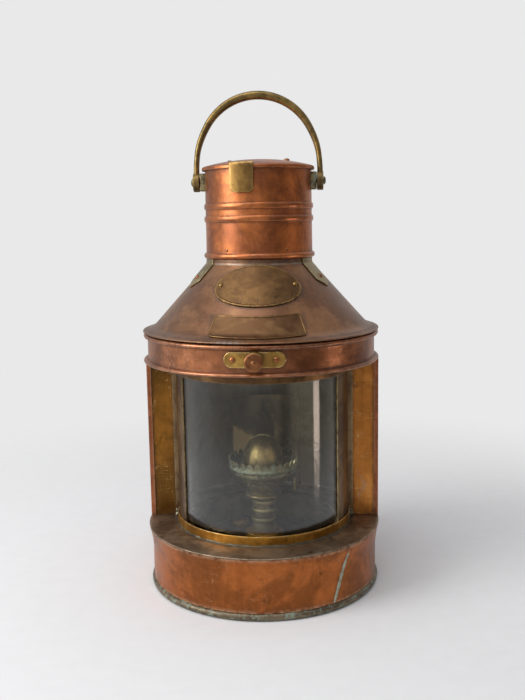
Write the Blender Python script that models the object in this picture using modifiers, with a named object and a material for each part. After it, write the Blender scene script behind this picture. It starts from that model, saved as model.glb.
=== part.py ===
"""Stern navigation lamp: a half-round copper body with a curved glass, a hinged
hood with a chimney collar, a turning lid and a swinging bail, and inside it an oil
font with a flat-wick burner that lifts out.

Metres, +Z up. The origin is the middle of the base and the glass faces -Y.
Angles round the lamp are taken from the front, towards +X.
"""

from math import atan2, cos, pi, radians, sin, sqrt

import bmesh
import bpy
from mathutils import Vector

# Fits between pieces, and shares that several pieces use
SEAT_GAP = 0.0003
RUNNING_GAP = 0.0004
CUT_OVERRUN = 0.002
WELD_DISTANCE = 0.00005
STADIUM_END_SHARES = (0, 0.35, 0.65, 0.92)
STADIUM_MIDDLE_SHARES = (-0.33, 0.33)
RIVET_DOME_TURNS = (0, radians(35), radians(65), pi / 2)

# Facets round the turned pieces
BODY_STEPS = 48
COLLAR_STEPS = 36
FONT_STEPS = 32
BURNER_STEPS = 24
RIVET_STEPS = 12

# Base drum, its wired bottom edge and the deck over it
DRUM_RADIUS = 0.1145
DRUM_WALL = 0.0012
DRUM_TOP = 0.0599
DRUM_FLARE = 0.0034
DRUM_FLARE_HEIGHT = 0.024
DRUM_FLARE_SHARES = ((0, 1), (0.10, 0.88), (0.30, 0.56), (0.62, 0.20), (1, 0))
WIRE_RADIUS = 0.0036
WIRE_PROUD = 0.0023
BASE_PLATE_WALL = 0.0010
DECK_WALL = 0.0012
DECK_OVERHANG = 0.0001
FONT_WELL_CLEARANCE = 0.0045

# Rear shell with its turned-in front hems, and the flat screens beside the glass
SHELL_WALL = 0.0012
SHELL_OUTSET = 0.0033
HEM_WIDTH = 0.0047
SCREEN_WALL = 0.0010
SCREEN_LAP = 0.0007

# Window: sill, head ring, posts and glass, one inside the other
SILL_SETBACK = 0.0292
SILL_WALL = 0.0015
SILL_HEIGHT = 0.0095
HEAD_RING_HEIGHT = 0.0102
POST_WALL = 0.0012
POST_FLANGE = 0.0050
POST_POINTS = 7
WINDOW_HALF_ANGLE = radians(60.2)
GLASS_WALL = 0.0030
GLASS_HALF_ANGLE = radians(87.5)

# Band under the hood, with a bead along each edge
BAND_BOTTOM = 0.2270
BAND_HEIGHT = 0.0299
BAND_INSET = 0.0015
BAND_WALL = 0.0012
LOWER_BEAD_HEIGHT = 0.0046
LOWER_BEAD_PROUD = 0.0044
UPPER_BEAD_HEIGHT = 0.0054
UPPER_BEAD_PROUD = 0.0038
HEAD_PLATE_WALL = 0.0012
HEAD_SHELF = 0.0106

# Push latch on the front of the band
LATCH_HEIGHT = 0.0163
LATCH_PLATE_WIDTH = 0.0556
LATCH_PLATE_HEIGHT = 0.0147
LATCH_PLATE_WALL = 0.0012
LATCH_RIVET_SPACING = 0.0390
LATCH_RIVET_RADIUS = 0.0027
LATCH_RIVET_HEIGHT = 0.0016
BARREL_RADIUS = 0.0080
BARREL_WALL = 0.0016
BARREL_LENGTH = 0.0100
BUTTON_RADIUS = 0.0083
BUTTON_THICKNESS = 0.0024
BUTTON_CHAMFER = 0.0006
BUTTON_PEEN_RADIUS = 0.0024
BUTTON_PEEN_HEIGHT = 0.0008
BUTTON_STEM_RADIUS = 0.0020
BUTTON_TRAVEL = 0.0030
TONGUE_CLEARANCE = 0.0010
SPRING_RADIUS = 0.0044
SPRING_WIRE = 0.0004
SPRING_TURNS = 4.5
SPRING_POINTS_A_TURN = 8

# Hood: a short neck, a cone, a sloping brim and a rolled lip
CONE_TOP_RADIUS = 0.0515
NECK_HEIGHT = 0.0046
CONE_HEIGHT = 0.0602
BRIM_INSET = 0.0023
BRIM_WIDTH = 0.0094
BRIM_DROP = 0.0038
LIP_OVERHANG = 0.0043
LIP_HEIGHT = 0.0020
LIP_ROUNDING = 0.0005
LIP_CLEARANCE = 0.0005
HOOD_WALL = 0.0010
SPIGOT_CLEARANCE = 0.0014
SPIGOT_WALL = 0.0011
SPIGOT_DEPTH = 0.0080
TONGUE_WIDTH = 0.0180
TONGUE_WALL = 0.0012
TONGUE_LENGTH = 0.0130

# Hood hinge at the back
HINGE_SETBACK = 0.0037
HINGE_RISE = 0.0006
KNUCKLE_RADIUS = 0.0030
HINGE_PIN_RADIUS = 0.0013
HINGE_PIN_HEAD = 0.0009
HINGE_LEAF_WIDTH = 0.0340
HINGE_LEAF_WALL = 0.0012
HINGE_LEAF_DROP = 0.0240
HINGE_STRAP_WIDTH = 0.0114
HINGE_STRAP_WALL = 0.0012
HINGE_STRAP_REACH = 0.0160

# Chimney collar: three beads and the straps that tie it to the cone
COLLAR_OUTSET = 0.0008
COLLAR_TAPER = 0.0011
COLLAR_WALL = 0.0010
COLLAR_HEIGHT = 0.0868
COLLAR_BEAD_PROUD = 0.0014
COLLAR_BEAD_HEIGHT = 0.0062
UPPER_COLLAR_BEAD = 0.0498
LOWER_COLLAR_BEAD = 0.0378
FOOT_BEAD_PROUD = 0.0023
FOOT_BEAD_HEIGHT = 0.0055
STRAP_WIDTH = 0.0234
STRAP_WALL = 0.0010
STRAP_LENGTH = 0.0300
STRAP_POINT = 0.0085
STRAP_POINT_WIDTH = 0.0029
STRAP_RIVET_DOWN = 0.0180
STRAP_RIVET_RADIUS = 0.0024
STRAP_RIVET_HEIGHT = 0.0015
STRAP_ANGLES = {"front_left": radians(-68), "front_right": radians(68), "rear": radians(180)}

# Plates on the cone
PLATE_TURN = radians(1.2)
OVAL_WIDTH = 0.0830
OVAL_HEIGHT = 0.0492
OVAL_TOP_MARGIN = 0.0004
OVAL_WALL = 0.0012
OVAL_COLUMNS = 15
OVAL_END_TURN = radians(82)
OVAL_RIVET_SPACING = 0.0716
OVAL_RIVET_RADIUS = 0.0022
OVAL_RIVET_HEIGHT = 0.0014
NAME_TOP_WIDTH = 0.0800
NAME_BOTTOM_WIDTH = 0.0940
NAME_HEIGHT = 0.0214
NAME_BRIM_LAP = 0.0055
NAME_SAG = 0.0034
NAME_WALL = 0.0010
NAME_COLUMNS = 10

# Lid, its front tab and the bar riveted under it
LID_OVERHANG = 0.0038
LID_WALL = 0.0010
LID_RIM_HEIGHT = 0.0040
LID_RISE = 0.0066
LID_CLEARANCE = 0.0012
LID_DOME_SHARES = ((0, 1), (0.30, 0.92), (0.60, 0.66), (0.85, 0.26), (1, 0))
LID_TURN = radians(-13.5)
TAB_WIDTH = 0.0232
TAB_WALL = 0.0011
TAB_LENGTH = 0.0270
TAB_CORNER = 0.0045
TAB_FOOT = 0.0048
TAB_ABOVE_SHOULDER = 0.0010
TAB_CORNER_TURNS = (radians(30), radians(60), radians(85))
LID_RIVET_SPACING = 0.0580
LID_RIVET_RADIUS = 0.0026
LID_RIVET_HEIGHT = 0.0022
CROSS_BAR_WIDTH = 0.0100
CROSS_BAR_WALL = 0.0020
CROSS_BAR_CLEARANCE = 0.0008

# Bail, its lugs and pivot pins
PIVOT_BELOW_RIM = 0.0131
LUG_OUTSET = 0.0059
LUG_HEIGHT = 0.0172
LUG_WIDTH = 0.0150
EYE_RADIUS = 0.0092
EYE_THICKNESS = 0.0062
PIVOT_PIN_RADIUS = 0.0022
PIVOT_HEAD_RADIUS = 0.0040
PIVOT_HEAD_HEIGHT = 0.0022
BAIL_EYE_NECK = 0.0014
BAIL_RISE = 0.0255
BAIL_EYE_SPLAY = 0.0040
BAIL_LEG_THICKNESS = 0.0054
BAIL_CROWN_THICKNESS = 0.0082
BAIL_LEG_DEPTH = 0.0100
BAIL_CROWN_DEPTH = 0.0088
BAIL_ARCH_STEPS = 18
BAIL_SIDES = 10

# Oil font in the base, with its filler cap
FONT_INSET = 0.0186
FONT_WALL = 0.0010
FONT_HEIGHT = 0.0387
FONT_SHOULDER = 0.0050
FONT_NECK_RADIUS = 0.0118
FILLER_OUT = 0.0430
FILLER_ANGLE = radians(-140)
FILLER_RADIUS = 0.0070
CAP_RADIUS = 0.0095
CAP_HEIGHT = 0.0055
CAP_CHAMFER = 0.0011
CAP_PLUG = 0.0035

# Burner: collar, ringed stem, air bowl, toothed gallery and dome
BURNER_COLLAR_RADIUS = 0.0190
BURNER_COLLAR_HEIGHT = 0.0060
STEM_RADIUS = 0.0100
STEM_RING_PROUD = 0.0018
STEM_LENGTH = 0.0365
STEM_RING_SHARES = (0.14, 0.38, 0.66)
STEM_RING_HEIGHT = 0.0044
SKIRT_RADIUS = 0.0188
SKIRT_HEIGHT = 0.0050
SKIRT_CHAMFER = 0.0013
BOWL_WAIST_RADIUS = 0.0150
BOWL_RADIUS = 0.0222
BOWL_HEIGHT = 0.0100
BOWL_TOP_RADIUS = 0.0300
BOWL_TOP_RISE = 0.0110
GALLERY_RADIUS = 0.0350
GALLERY_WALL = 0.0008
GALLERY_HEIGHT = 0.0090
GALLERY_STEP_HEIGHT = 0.0060
GALLERY_LIP = 0.0010
TOOTH_HEIGHT = 0.0075
TOOTH_COUNT = 28
TOOTH_ROOT_SHARE = 0.2
DOME_RADIUS = 0.0218
DOME_HEIGHT = 0.0378
DOME_WALL = 0.0009
DOME_SKIRT = 0.0070
DOME_ROWS = 5
DOME_SLOT_WIDTH = 0.0190
DOME_SLOT_DEPTH = 0.0044
WICK_WIDTH = 0.0150
WICK_THICKNESS = 0.0018
WICK_CLEARANCE = 0.0006
WICK_TUBE_WALL = 0.0010
WICK_TUBE_BELOW_DOME = 0.0110
WICK_BELOW_TOP = 0.0030
WICK_TAIL = 0.0200
WINDER_DOWN_BOWL = 0.0012
WINDER_SHAFT_RADIUS = 0.0013
WINDER_SPUR_RADIUS = 0.0030
WINDER_SPUR_THICKNESS = 0.0018
WINDER_SPUR_SPACING = 0.0080
WINDER_REACH = 0.0335
KNOB_RADIUS = 0.0062
KNOB_THICKNESS = 0.0028
KNOB_CHAMFER = 0.0007

# Reflector on the rear wall
REFLECTOR_CURVE = 0.0550
REFLECTOR_HALF_ANGLE = radians(44)
REFLECTOR_HEIGHT = 0.1000
REFLECTOR_BOTTOM = 0.0700
REFLECTOR_STANDOFF = 0.0228
REFLECTOR_WALL = 0.0008
REFLECTOR_POINTS = 13
BRACKET_WIDTH = 0.0140
BRACKET_HEIGHT = 0.0120

# Heights and radii that follow from the sizes above
SHELL_RADIUS = DRUM_RADIUS + SHELL_OUTSET
SILL_RADIUS = SHELL_RADIUS - SILL_SETBACK
BAND_RADIUS = DRUM_RADIUS - BAND_INSET
LIP_RADIUS = BAND_RADIUS + LIP_OVERHANG
BRIM_RADIUS = LIP_RADIUS - BRIM_INSET
CONE_FOOT_RADIUS = BRIM_RADIUS - BRIM_WIDTH
CONE_RUN = CONE_FOOT_RADIUS - CONE_TOP_RADIUS
CONE_SLANT = sqrt(CONE_RUN ** 2 + CONE_HEIGHT ** 2)
CONE_OUT = CONE_HEIGHT / CONE_SLANT
CONE_UP = CONE_RUN / CONE_SLANT
OVAL_DOWN = OVAL_TOP_MARGIN + OVAL_HEIGHT / 2
BRIM_SLANT = sqrt(BRIM_WIDTH ** 2 + BRIM_DROP ** 2)
COLLAR_BOTTOM_RADIUS = CONE_TOP_RADIUS + COLLAR_OUTSET
COLLAR_TOP_RADIUS = COLLAR_BOTTOM_RADIUS - COLLAR_TAPER
LID_RADIUS = COLLAR_TOP_RADIUS + LID_OVERHANG
LUG_REACH = COLLAR_TOP_RADIUS + LUG_OUTSET
HEAD_PLATE_HOLE = SILL_RADIUS - HEAD_SHELF
FONT_RADIUS = SILL_RADIUS - FONT_INSET
DECK_UNDERSIDE = DRUM_TOP + SEAT_GAP
DECK_TOP = DECK_UNDERSIDE + DECK_WALL
DECK_RADIUS = DRUM_RADIUS + DRUM_FLARE + DECK_OVERHANG
WIRE_RING_RADIUS = DRUM_RADIUS + WIRE_PROUD - WIRE_RADIUS
WALL_FOOT = DECK_TOP + SEAT_GAP
WALL_HEAD = BAND_BOTTOM - SEAT_GAP
POST_RADIUS = SILL_RADIUS - SILL_WALL - SEAT_GAP
GLASS_RADIUS = POST_RADIUS - POST_WALL - SEAT_GAP
BAND_INNER = BAND_RADIUS - BAND_WALL
BAND_TOP = BAND_BOTTOM + BAND_HEIGHT
LATCH_Z = BAND_BOTTOM + LATCH_HEIGHT
LATCH_FACE = BAND_RADIUS + SEAT_GAP + LATCH_PLATE_WALL
BARREL_BACK = LATCH_FACE + SEAT_GAP
BARREL_MOUTH = BARREL_BACK + BARREL_LENGTH
BUTTON_BACK = BARREL_MOUTH + BUTTON_TRAVEL + RUNNING_GAP
LIP_BOTTOM = BAND_TOP + LIP_CLEARANCE
LIP_TOP = LIP_BOTTOM + LIP_HEIGHT
CONE_FOOT_Z = LIP_TOP + BRIM_DROP
CONE_TOP_Z = CONE_FOOT_Z + CONE_HEIGHT
NECK_TOP = CONE_TOP_Z + NECK_HEIGHT
SPIGOT_RADIUS = BAND_INNER - SPIGOT_CLEARANCE
WIDEST_RADIUS = max(LIP_RADIUS, BAND_RADIUS + LOWER_BEAD_PROUD, BAND_RADIUS + UPPER_BEAD_PROUD)
HINGE_LEAF_BACK = WIDEST_RADIUS + SEAT_GAP
HINGE_Y = HINGE_LEAF_BACK + HINGE_SETBACK
HINGE_Z = LIP_BOTTOM + HINGE_RISE
COLLAR_FOOT = NECK_TOP + SEAT_GAP
COLLAR_TOP = COLLAR_FOOT + COLLAR_HEIGHT
LID_UNDERSIDE = COLLAR_TOP + SEAT_GAP
LID_SHOULDER = LID_UNDERSIDE + LID_WALL
LID_RIM_BOTTOM = LID_SHOULDER - LID_RIM_HEIGHT
PIVOT_Z = COLLAR_TOP - PIVOT_BELOW_RIM
EYE_INNER = LUG_REACH + SEAT_GAP
EYE_OUTER = EYE_INNER + EYE_THICKNESS
EYE_MIDDLE = (EYE_INNER + EYE_OUTER) / 2
BAIL_ARCH_RADIUS = EYE_MIDDLE - BAIL_EYE_SPLAY
FONT_FOOT = BASE_PLATE_WALL + SEAT_GAP
FONT_TOP = FONT_FOOT + FONT_HEIGHT
BURNER_COLLAR_FOOT = FONT_TOP + SEAT_GAP
STEM_FOOT = BURNER_COLLAR_FOOT + BURNER_COLLAR_HEIGHT + SEAT_GAP
SKIRT_FOOT = STEM_FOOT + STEM_LENGTH
BOWL_FOOT = SKIRT_FOOT + SKIRT_HEIGHT
BOWL_RIM = BOWL_FOOT + BOWL_HEIGHT
BURNER_TOP = BOWL_RIM + BOWL_TOP_RISE
GALLERY_FOOT = BURNER_TOP + SEAT_GAP
GALLERY_STEP = GALLERY_FOOT + GALLERY_STEP_HEIGHT
TOOTH_FOOT = GALLERY_FOOT + GALLERY_HEIGHT
DOME_FOOT = GALLERY_FOOT + GALLERY_WALL + SEAT_GAP
DOME_TOP = DOME_FOOT + DOME_HEIGHT
WINDER_Z = BOWL_RIM - WINDER_DOWN_BOWL
WINDER_Y = -(WICK_THICKNESS / 2 + SEAT_GAP + WINDER_SPUR_RADIUS)

LAMP = bpy.data.collections.new("stern_navigation_lamp")
CUTTERS = bpy.data.collections.new("cutters")


def finish(name, colour, roughness, metallic=1.0, alpha=1.0):
    """A Principled material of one colour."""
    material = bpy.data.materials.new(name)
    material.use_nodes = True
    shader = material.node_tree.nodes["Principled BSDF"]
    shader.inputs["Base Color"].default_value = (*colour, 1)
    shader.inputs["Roughness"].default_value = roughness
    shader.inputs["Metallic"].default_value = metallic
    shader.inputs["Alpha"].default_value = alpha
    material.diffuse_color = (*colour, alpha)
    return material


def part(name, mesh, colour, roughness, metallic=1.0, alpha=1.0):
    """One visible sub-part with its own material."""
    piece = bpy.data.objects.new(name, mesh)
    mesh.materials.append(finish(name, colour, roughness, metallic, alpha))
    LAMP.objects.link(piece)
    return piece


def copper(name, mesh):
    return part(name, mesh, (0.38, 0.13, 0.06), 0.38)


def dull_copper(name, mesh):
    return part(name, mesh, (0.26, 0.12, 0.07), 0.5)


def brass(name, mesh):
    return part(name, mesh, (0.34, 0.20, 0.06), 0.42)


def tinned(name, mesh):
    return part(name, mesh, (0.16, 0.15, 0.14), 0.4)


def burner_brass(name, mesh):
    return part(name, mesh, (0.30, 0.26, 0.17), 0.4)


def steel(name, mesh):
    return part(name, mesh, (0.30, 0.29, 0.27), 0.4)


def clear_glass(name, mesh):
    return part(name, mesh, (0.85, 0.88, 0.86), 0.05, 0.0, 0.35)


def cotton(name, mesh):
    return part(name, mesh, (0.62, 0.56, 0.44), 0.95, 0.0)


def as_tool(piece):
    """Hides a shape that only cuts another or is joined to it."""
    for home in piece.users_collection:
        home.objects.unlink(piece)
    CUTTERS.objects.link(piece)
    piece.hide_render = True
    piece.display_type = "WIRE"
    return piece


def tool(name, mesh):
    piece = bpy.data.objects.new(name, mesh)
    return as_tool(piece)


def combine(piece, other, operation):
    """Joins another shape to a piece, or cuts it out of it."""
    boolean = piece.modifiers.new(operation.lower(), "BOOLEAN")
    boolean.operation = operation
    boolean.object = other
    return piece


def cut(piece, *cutters):
    for cutter in cutters:
        combine(piece, cutter, "DIFFERENCE")
    return piece


def join(piece, *others):
    for other in others:
        combine(piece, other, "UNION")
    return piece


def round_points(radius, start, stop, count):
    """Points on an arc round the lamp's axis, from one angle to another."""
    angles = [start + (stop - start) * i / (count - 1) for i in range(count)]
    return [(radius * sin(angle), -radius * cos(angle)) for angle in angles]


def turned(name, profile, steps, make, on_axis=False):
    """A profile of (radius, height) pairs turned about Z, running down its outer side."""
    mesh = bpy.data.meshes.new(name)
    points = [(radius, 0, height) for radius, height in profile]
    edges = [(i, i + 1) for i in range(len(points) - 1)]
    if not on_axis:
        edges.append((len(points) - 1, 0))
    mesh.from_pydata(points, edges, [])
    piece = make(name, mesh)
    screw = piece.modifiers.new("turn", "SCREW")
    screw.angle = 2 * pi
    screw.steps = steps
    screw.render_steps = steps
    screw.use_merge_vertices = True
    screw.merge_threshold = WELD_DISTANCE
    return piece


def ring(outer, inner, low, high):
    """The section of a plain ring."""
    return [(outer, high), (outer, low), (inner, low), (inner, high)]


def rod(radius, low, high):
    """The profile of a plain round bar."""
    return [(0, high), (radius, high), (radius, low), (0, low)]


def bead(wall, proud, middle, height, count=5):
    """Points of a half-round bead on a wall, from its top to its bottom."""
    turns = [pi * (i / (count - 1) - 0.5) for i in range(count)]
    return [(wall + proud * cos(turn), middle - height / 2 * sin(turn)) for turn in turns]


def sheet(name, rows, wall, side, make):
    """A grid of points made a wall thick, on the outer side (1) or the inner side (-1)."""
    bm = bmesh.new()
    grid = [[bm.verts.new(point) for point in row] for row in rows]
    for upper, lower in zip(grid, grid[1:]):
        for i in range(len(upper) - 1):
            bm.faces.new((upper[i], lower[i], lower[i + 1], upper[i + 1]))
    mesh = bpy.data.meshes.new(name)
    bm.to_mesh(mesh)
    bm.free()
    piece = make(name, mesh)
    solidify = piece.modifiers.new("wall", "SOLIDIFY")
    solidify.thickness = wall
    solidify.offset = side
    solidify.use_even_offset = True
    return piece


def upright(name, plan, low, high, wall, make):
    """An upright wall on a path of (x, y) points; its thickness lies to the path's left."""
    rows = [[(x, y, z) for x, y in plan] for z in (high, low)]
    return sheet(name, rows, wall, -1, make)


def wrapped(name, stations, wall, make, middle=0.0, columns=6):
    """A plate laid round the axis: stations of (radius, height, width along the arc)."""
    rows = []
    for radius, height, width in stations:
        reach = width / 2 / radius
        plan = round_points(radius, middle - reach, middle + reach, columns + 1)
        rows.append([(x, y, height) for x, y in plan])
    return sheet(name, rows, wall, 1, make)


def laid(name, columns, wall, make):
    """A plate laid round the axis: columns of an angle and its two (radius, height) ends, top first."""
    rows = []
    for end in (0, 1):
        places = [(angle, *ends[end]) for angle, ends in columns]
        rows.append([(radius * sin(angle), -radius * cos(angle), height) for angle, radius, height in places])
    return sheet(name, rows, wall, 1, make)


def box(name, low, high, make):
    """A box between two corners."""
    bm = bmesh.new()
    bmesh.ops.create_cube(bm, size=1)
    size = [b - a for a, b in zip(low, high)]
    middle = [(a + b) / 2 for a, b in zip(low, high)]
    bmesh.ops.scale(bm, vec=size, verts=bm.verts)
    bmesh.ops.translate(bm, vec=middle, verts=bm.verts)
    mesh = bpy.data.meshes.new(name)
    bm.to_mesh(mesh)
    bm.free()
    return make(name, mesh)


def aim(piece, place, outward):
    """Moves a piece that was made on +Z to a place, with +Z turned outwards."""
    piece.location = place
    piece.rotation_mode = "QUATERNION"
    piece.rotation_quaternion = Vector(outward).to_track_quat("Z", "Y")
    return piece


def cross_rod(name, radius, low, high, place_y, place_z, make, steps=RIVET_STEPS):
    """A round bar along X."""
    piece = turned(name, rod(radius, low, high), steps, make, on_axis=True)
    return aim(piece, (0, place_y, place_z), (1, 0, 0))


def rivet(name, place, outward, radius, height, make):
    """A domed rivet head on a surface."""
    dome = [(radius * sin(turn), height * cos(turn)) for turn in RIVET_DOME_TURNS]
    piece = turned(name, dome + [(0, 0)], RIVET_STEPS, make, on_axis=True)
    return aim(piece, place, outward)


def stadium_columns(width, height):
    """Places along a plate with round ends, and half its height at each."""
    corner = height / 2
    straight = width / 2 - corner
    turns = [pi / 2 * share for share in STADIUM_END_SHARES]
    right = [(straight + corner * sin(turn), corner * cos(turn)) for turn in turns]
    left = [(-reach, half) for reach, half in reversed(right)]
    return left + [(straight * share, corner) for share in STADIUM_MIDDLE_SHARES] + right


def on_cone(down, lift=SEAT_GAP):
    """Radius and height on the hood's cone, a distance down its slope, lifted off it."""
    radius = CONE_TOP_RADIUS + CONE_UP * down + CONE_OUT * lift
    height = CONE_TOP_Z - CONE_OUT * down + CONE_UP * lift
    return radius, height


def on_brim(out, lift=SEAT_GAP):
    """Radius and height on the hood's brim, a distance out from the cone's foot, lifted off it."""
    radius = CONE_FOOT_RADIUS + (BRIM_WIDTH * out + BRIM_DROP * lift) / BRIM_SLANT
    height = CONE_FOOT_Z + (BRIM_WIDTH * lift - BRIM_DROP * out) / BRIM_SLANT
    return radius, height


def cone_place(down, angle, lift):
    """A place on the cone and the way out of it."""
    radius, height = on_cone(down, lift)
    place = (radius * sin(angle), -radius * cos(angle), height)
    outward = (CONE_OUT * sin(angle), -CONE_OUT * cos(angle), CONE_UP)
    return place, outward


def pivot(name, place, pieces):
    """An empty on a joint's axis that carries the pieces which move with it."""
    empty = bpy.data.objects.new(name, None)
    empty.location = place
    LAMP.objects.link(empty)
    bpy.context.view_layer.update()
    for piece in pieces:
        piece.parent = empty
        piece.matrix_parent_inverse = empty.matrix_world.inverted()
    return empty


def make_base():
    flare = []
    for down, out in DRUM_FLARE_SHARES:
        flare.append((DRUM_RADIUS + DRUM_FLARE * out, DRUM_TOP - DRUM_FLARE_HEIGHT * down))
    foot = 2 * WIRE_RADIUS + SEAT_GAP
    outer = flare + [(DRUM_RADIUS, foot)]
    inner = [(radius - DRUM_WALL, height) for radius, height in reversed(outer)]
    turned("base_drum", outer + inner, BODY_STEPS, copper)

    corner = WIRE_RADIUS / cos(pi / 8)
    turns = [pi / 8 - pi / 4 * i for i in range(8)]
    section = [(WIRE_RING_RADIUS + corner * cos(turn), WIRE_RADIUS + corner * sin(turn)) for turn in turns]
    turned("bottom_wire_ring", section, BODY_STEPS, dull_copper)

    plate_radius = WIRE_RING_RADIUS - WIRE_RADIUS - SEAT_GAP
    turned("base_plate", rod(plate_radius, 0, BASE_PLATE_WALL), BODY_STEPS, dull_copper, on_axis=True)

    well = FONT_RADIUS + FONT_WELL_CLEARANCE
    turned("deck_plate", ring(DECK_RADIUS, well, DECK_UNDERSIDE, DECK_TOP), BODY_STEPS, dull_copper)


def make_body():
    hem_end = SHELL_RADIUS - HEM_WIDTH
    rear = round_points(SHELL_RADIUS, pi / 2, 3 * pi / 2, BODY_STEPS // 2 + 1)
    plan = [(hem_end, 0)] + rear + [(-hem_end, 0)]
    upright("body_shell", plan, WALL_FOOT, WALL_HEAD, SHELL_WALL, copper)

    screen_front = SHELL_WALL + SEAT_GAP
    screen_start = POST_RADIUS + SCREEN_LAP
    screen_back = screen_front + SCREEN_WALL
    screen_edge = sqrt((SHELL_RADIUS - SHELL_WALL) ** 2 - screen_back ** 2) - 2 * SEAT_GAP
    for side, sign in (("left", -1), ("right", 1)):
        ends = sorted((sign * screen_start, sign * screen_edge))
        low = (ends[0], screen_front, WALL_FOOT)
        high = (ends[1], screen_back, WALL_HEAD)
        box("screen_" + side, low, high, brass)

    shelf = HEAD_PLATE_WALL + BAND_BOTTOM
    turned("head_plate", ring(BAND_INNER - SEAT_GAP, HEAD_PLATE_HOLE, BAND_BOTTOM, shelf), BODY_STEPS, tinned)


def make_window():
    quarter = pi / 2 - SEAT_GAP / SILL_RADIUS
    half_round = round_points(SILL_RADIUS, -quarter, quarter, BODY_STEPS // 2 + 1)
    upright("sill_ring", half_round, WALL_FOOT, WALL_FOOT + SILL_HEIGHT, SILL_WALL, brass)
    upright("head_ring", half_round, WALL_HEAD - HEAD_RING_HEIGHT, WALL_HEAD, SILL_WALL, brass)

    # A post is a curved strip along the glass with a flange turned out in front of the screen
    bend = SEAT_GAP / POST_RADIUS
    arc = round_points(POST_RADIUS, WINDOW_HALF_ANGLE, pi / 2 - bend, POST_POINTS)
    right = arc[:-1] + [(POST_RADIUS, -POST_WALL + SHELL_WALL)]
    flange_foot = WALL_FOOT + SILL_HEIGHT + SEAT_GAP
    flange_head = WALL_HEAD - HEAD_RING_HEIGHT - SEAT_GAP
    left = [(-x, y) for x, y in reversed(right)]
    for side, sign, plan in (("left", -1, left), ("right", 1, right)):
        post = upright("post_" + side, plan, WALL_FOOT, WALL_HEAD, POST_WALL, brass)
        reach = sorted((sign * (POST_RADIUS - POST_WALL), sign * (POST_RADIUS + POST_FLANGE)))
        low = (reach[0], 0, flange_foot)
        flange = box("post_flange_" + side, low, (reach[1], SHELL_WALL, flange_head), tool)
        join(post, flange)

    pane = round_points(GLASS_RADIUS, -GLASS_HALF_ANGLE, GLASS_HALF_ANGLE, BODY_STEPS // 2 + 1)
    upright("glass_pane", pane, WALL_FOOT, WALL_HEAD, GLASS_WALL, clear_glass)


def make_band():
    upper = bead(BAND_RADIUS, UPPER_BEAD_PROUD, BAND_TOP - UPPER_BEAD_HEIGHT / 2, UPPER_BEAD_HEIGHT)
    lower = bead(BAND_RADIUS, LOWER_BEAD_PROUD, BAND_BOTTOM + LOWER_BEAD_HEIGHT / 2, LOWER_BEAD_HEIGHT)
    profile = upper + lower + [(BAND_INNER, BAND_BOTTOM), (BAND_INNER, BAND_TOP)]
    band = turned("band", profile, BODY_STEPS, copper)

    back = BAND_RADIUS + SEAT_GAP
    columns = []
    for reach, half in stadium_columns(LATCH_PLATE_WIDTH, LATCH_PLATE_HEIGHT):
        columns.append((reach / back, ((back, LATCH_Z + half), (back, LATCH_Z - half))))
    plate = laid("latch_plate", columns, LATCH_PLATE_WALL, brass)

    bore_profile = rod(BUTTON_STEM_RADIUS + RUNNING_GAP, BAND_INNER - CUT_OVERRUN, LATCH_FACE + CUT_OVERRUN)
    bore = turned("latch_bore", bore_profile, RIVET_STEPS, tool, on_axis=True)
    aim(bore, (0, 0, LATCH_Z), (0, -1, 0))
    cut(band, bore)
    cut(plate, bore)

    for side, sign in (("left", -1), ("right", 1)):
        angle = sign * LATCH_RIVET_SPACING / 2 / LATCH_FACE
        reach = LATCH_FACE + SEAT_GAP
        place = (reach * sin(angle), -reach * cos(angle), LATCH_Z)
        outward = (sin(angle), -cos(angle), 0)
        rivet("latch_rivet_" + side, place, outward, LATCH_RIVET_RADIUS, LATCH_RIVET_HEIGHT, copper)

    section = ring(BARREL_RADIUS, BARREL_RADIUS - BARREL_WALL, BARREL_BACK, BARREL_MOUTH)
    aim(turned("latch_barrel", section, BURNER_STEPS, brass), (0, 0, LATCH_Z), (0, -1, 0))


def make_button(tongue_face):
    """The push button: a copper disc on a stem that reaches back through the band."""
    tip = tongue_face + TONGUE_CLEARANCE + BUTTON_TRAVEL
    face = BUTTON_BACK + BUTTON_THICKNESS
    profile = [
        (0, face + BUTTON_PEEN_HEIGHT),
        (BUTTON_PEEN_RADIUS * cos(pi / 4), face + BUTTON_PEEN_HEIGHT),
        (BUTTON_PEEN_RADIUS, face),
        (BUTTON_RADIUS - BUTTON_CHAMFER, face),
        (BUTTON_RADIUS, face - BUTTON_CHAMFER),
        (BUTTON_RADIUS, BUTTON_BACK),
        (BUTTON_STEM_RADIUS, BUTTON_BACK),
        (BUTTON_STEM_RADIUS, tip),
        (0, tip),
    ]
    button = turned("latch_button", profile, BURNER_STEPS, copper, on_axis=True)
    aim(button, (0, 0, LATCH_Z), (0, -1, 0))
    return button


def make_spring():
    """The button's return spring, an open coil round the stem inside the barrel."""
    low = BARREL_BACK + SEAT_GAP + SPRING_WIRE
    high = BUTTON_BACK - SEAT_GAP - SPRING_WIRE
    count = int(SPRING_TURNS * SPRING_POINTS_A_TURN) + 1
    curve = bpy.data.curves.new("latch_spring", "CURVE")
    curve.dimensions = "3D"
    curve.bevel_depth = SPRING_WIRE
    curve.bevel_resolution = 1
    curve.use_fill_caps = True
    spline = curve.splines.new("POLY")
    spline.points.add(count - 1)
    for i, point in enumerate(spline.points):
        turn = 2 * pi * i / SPRING_POINTS_A_TURN
        reach = low + (high - low) * i / (count - 1)
        point.co = (SPRING_RADIUS * cos(turn), -reach, LATCH_Z + SPRING_RADIUS * sin(turn), 1)
    steel("latch_spring", curve_mesh(curve))


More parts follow.
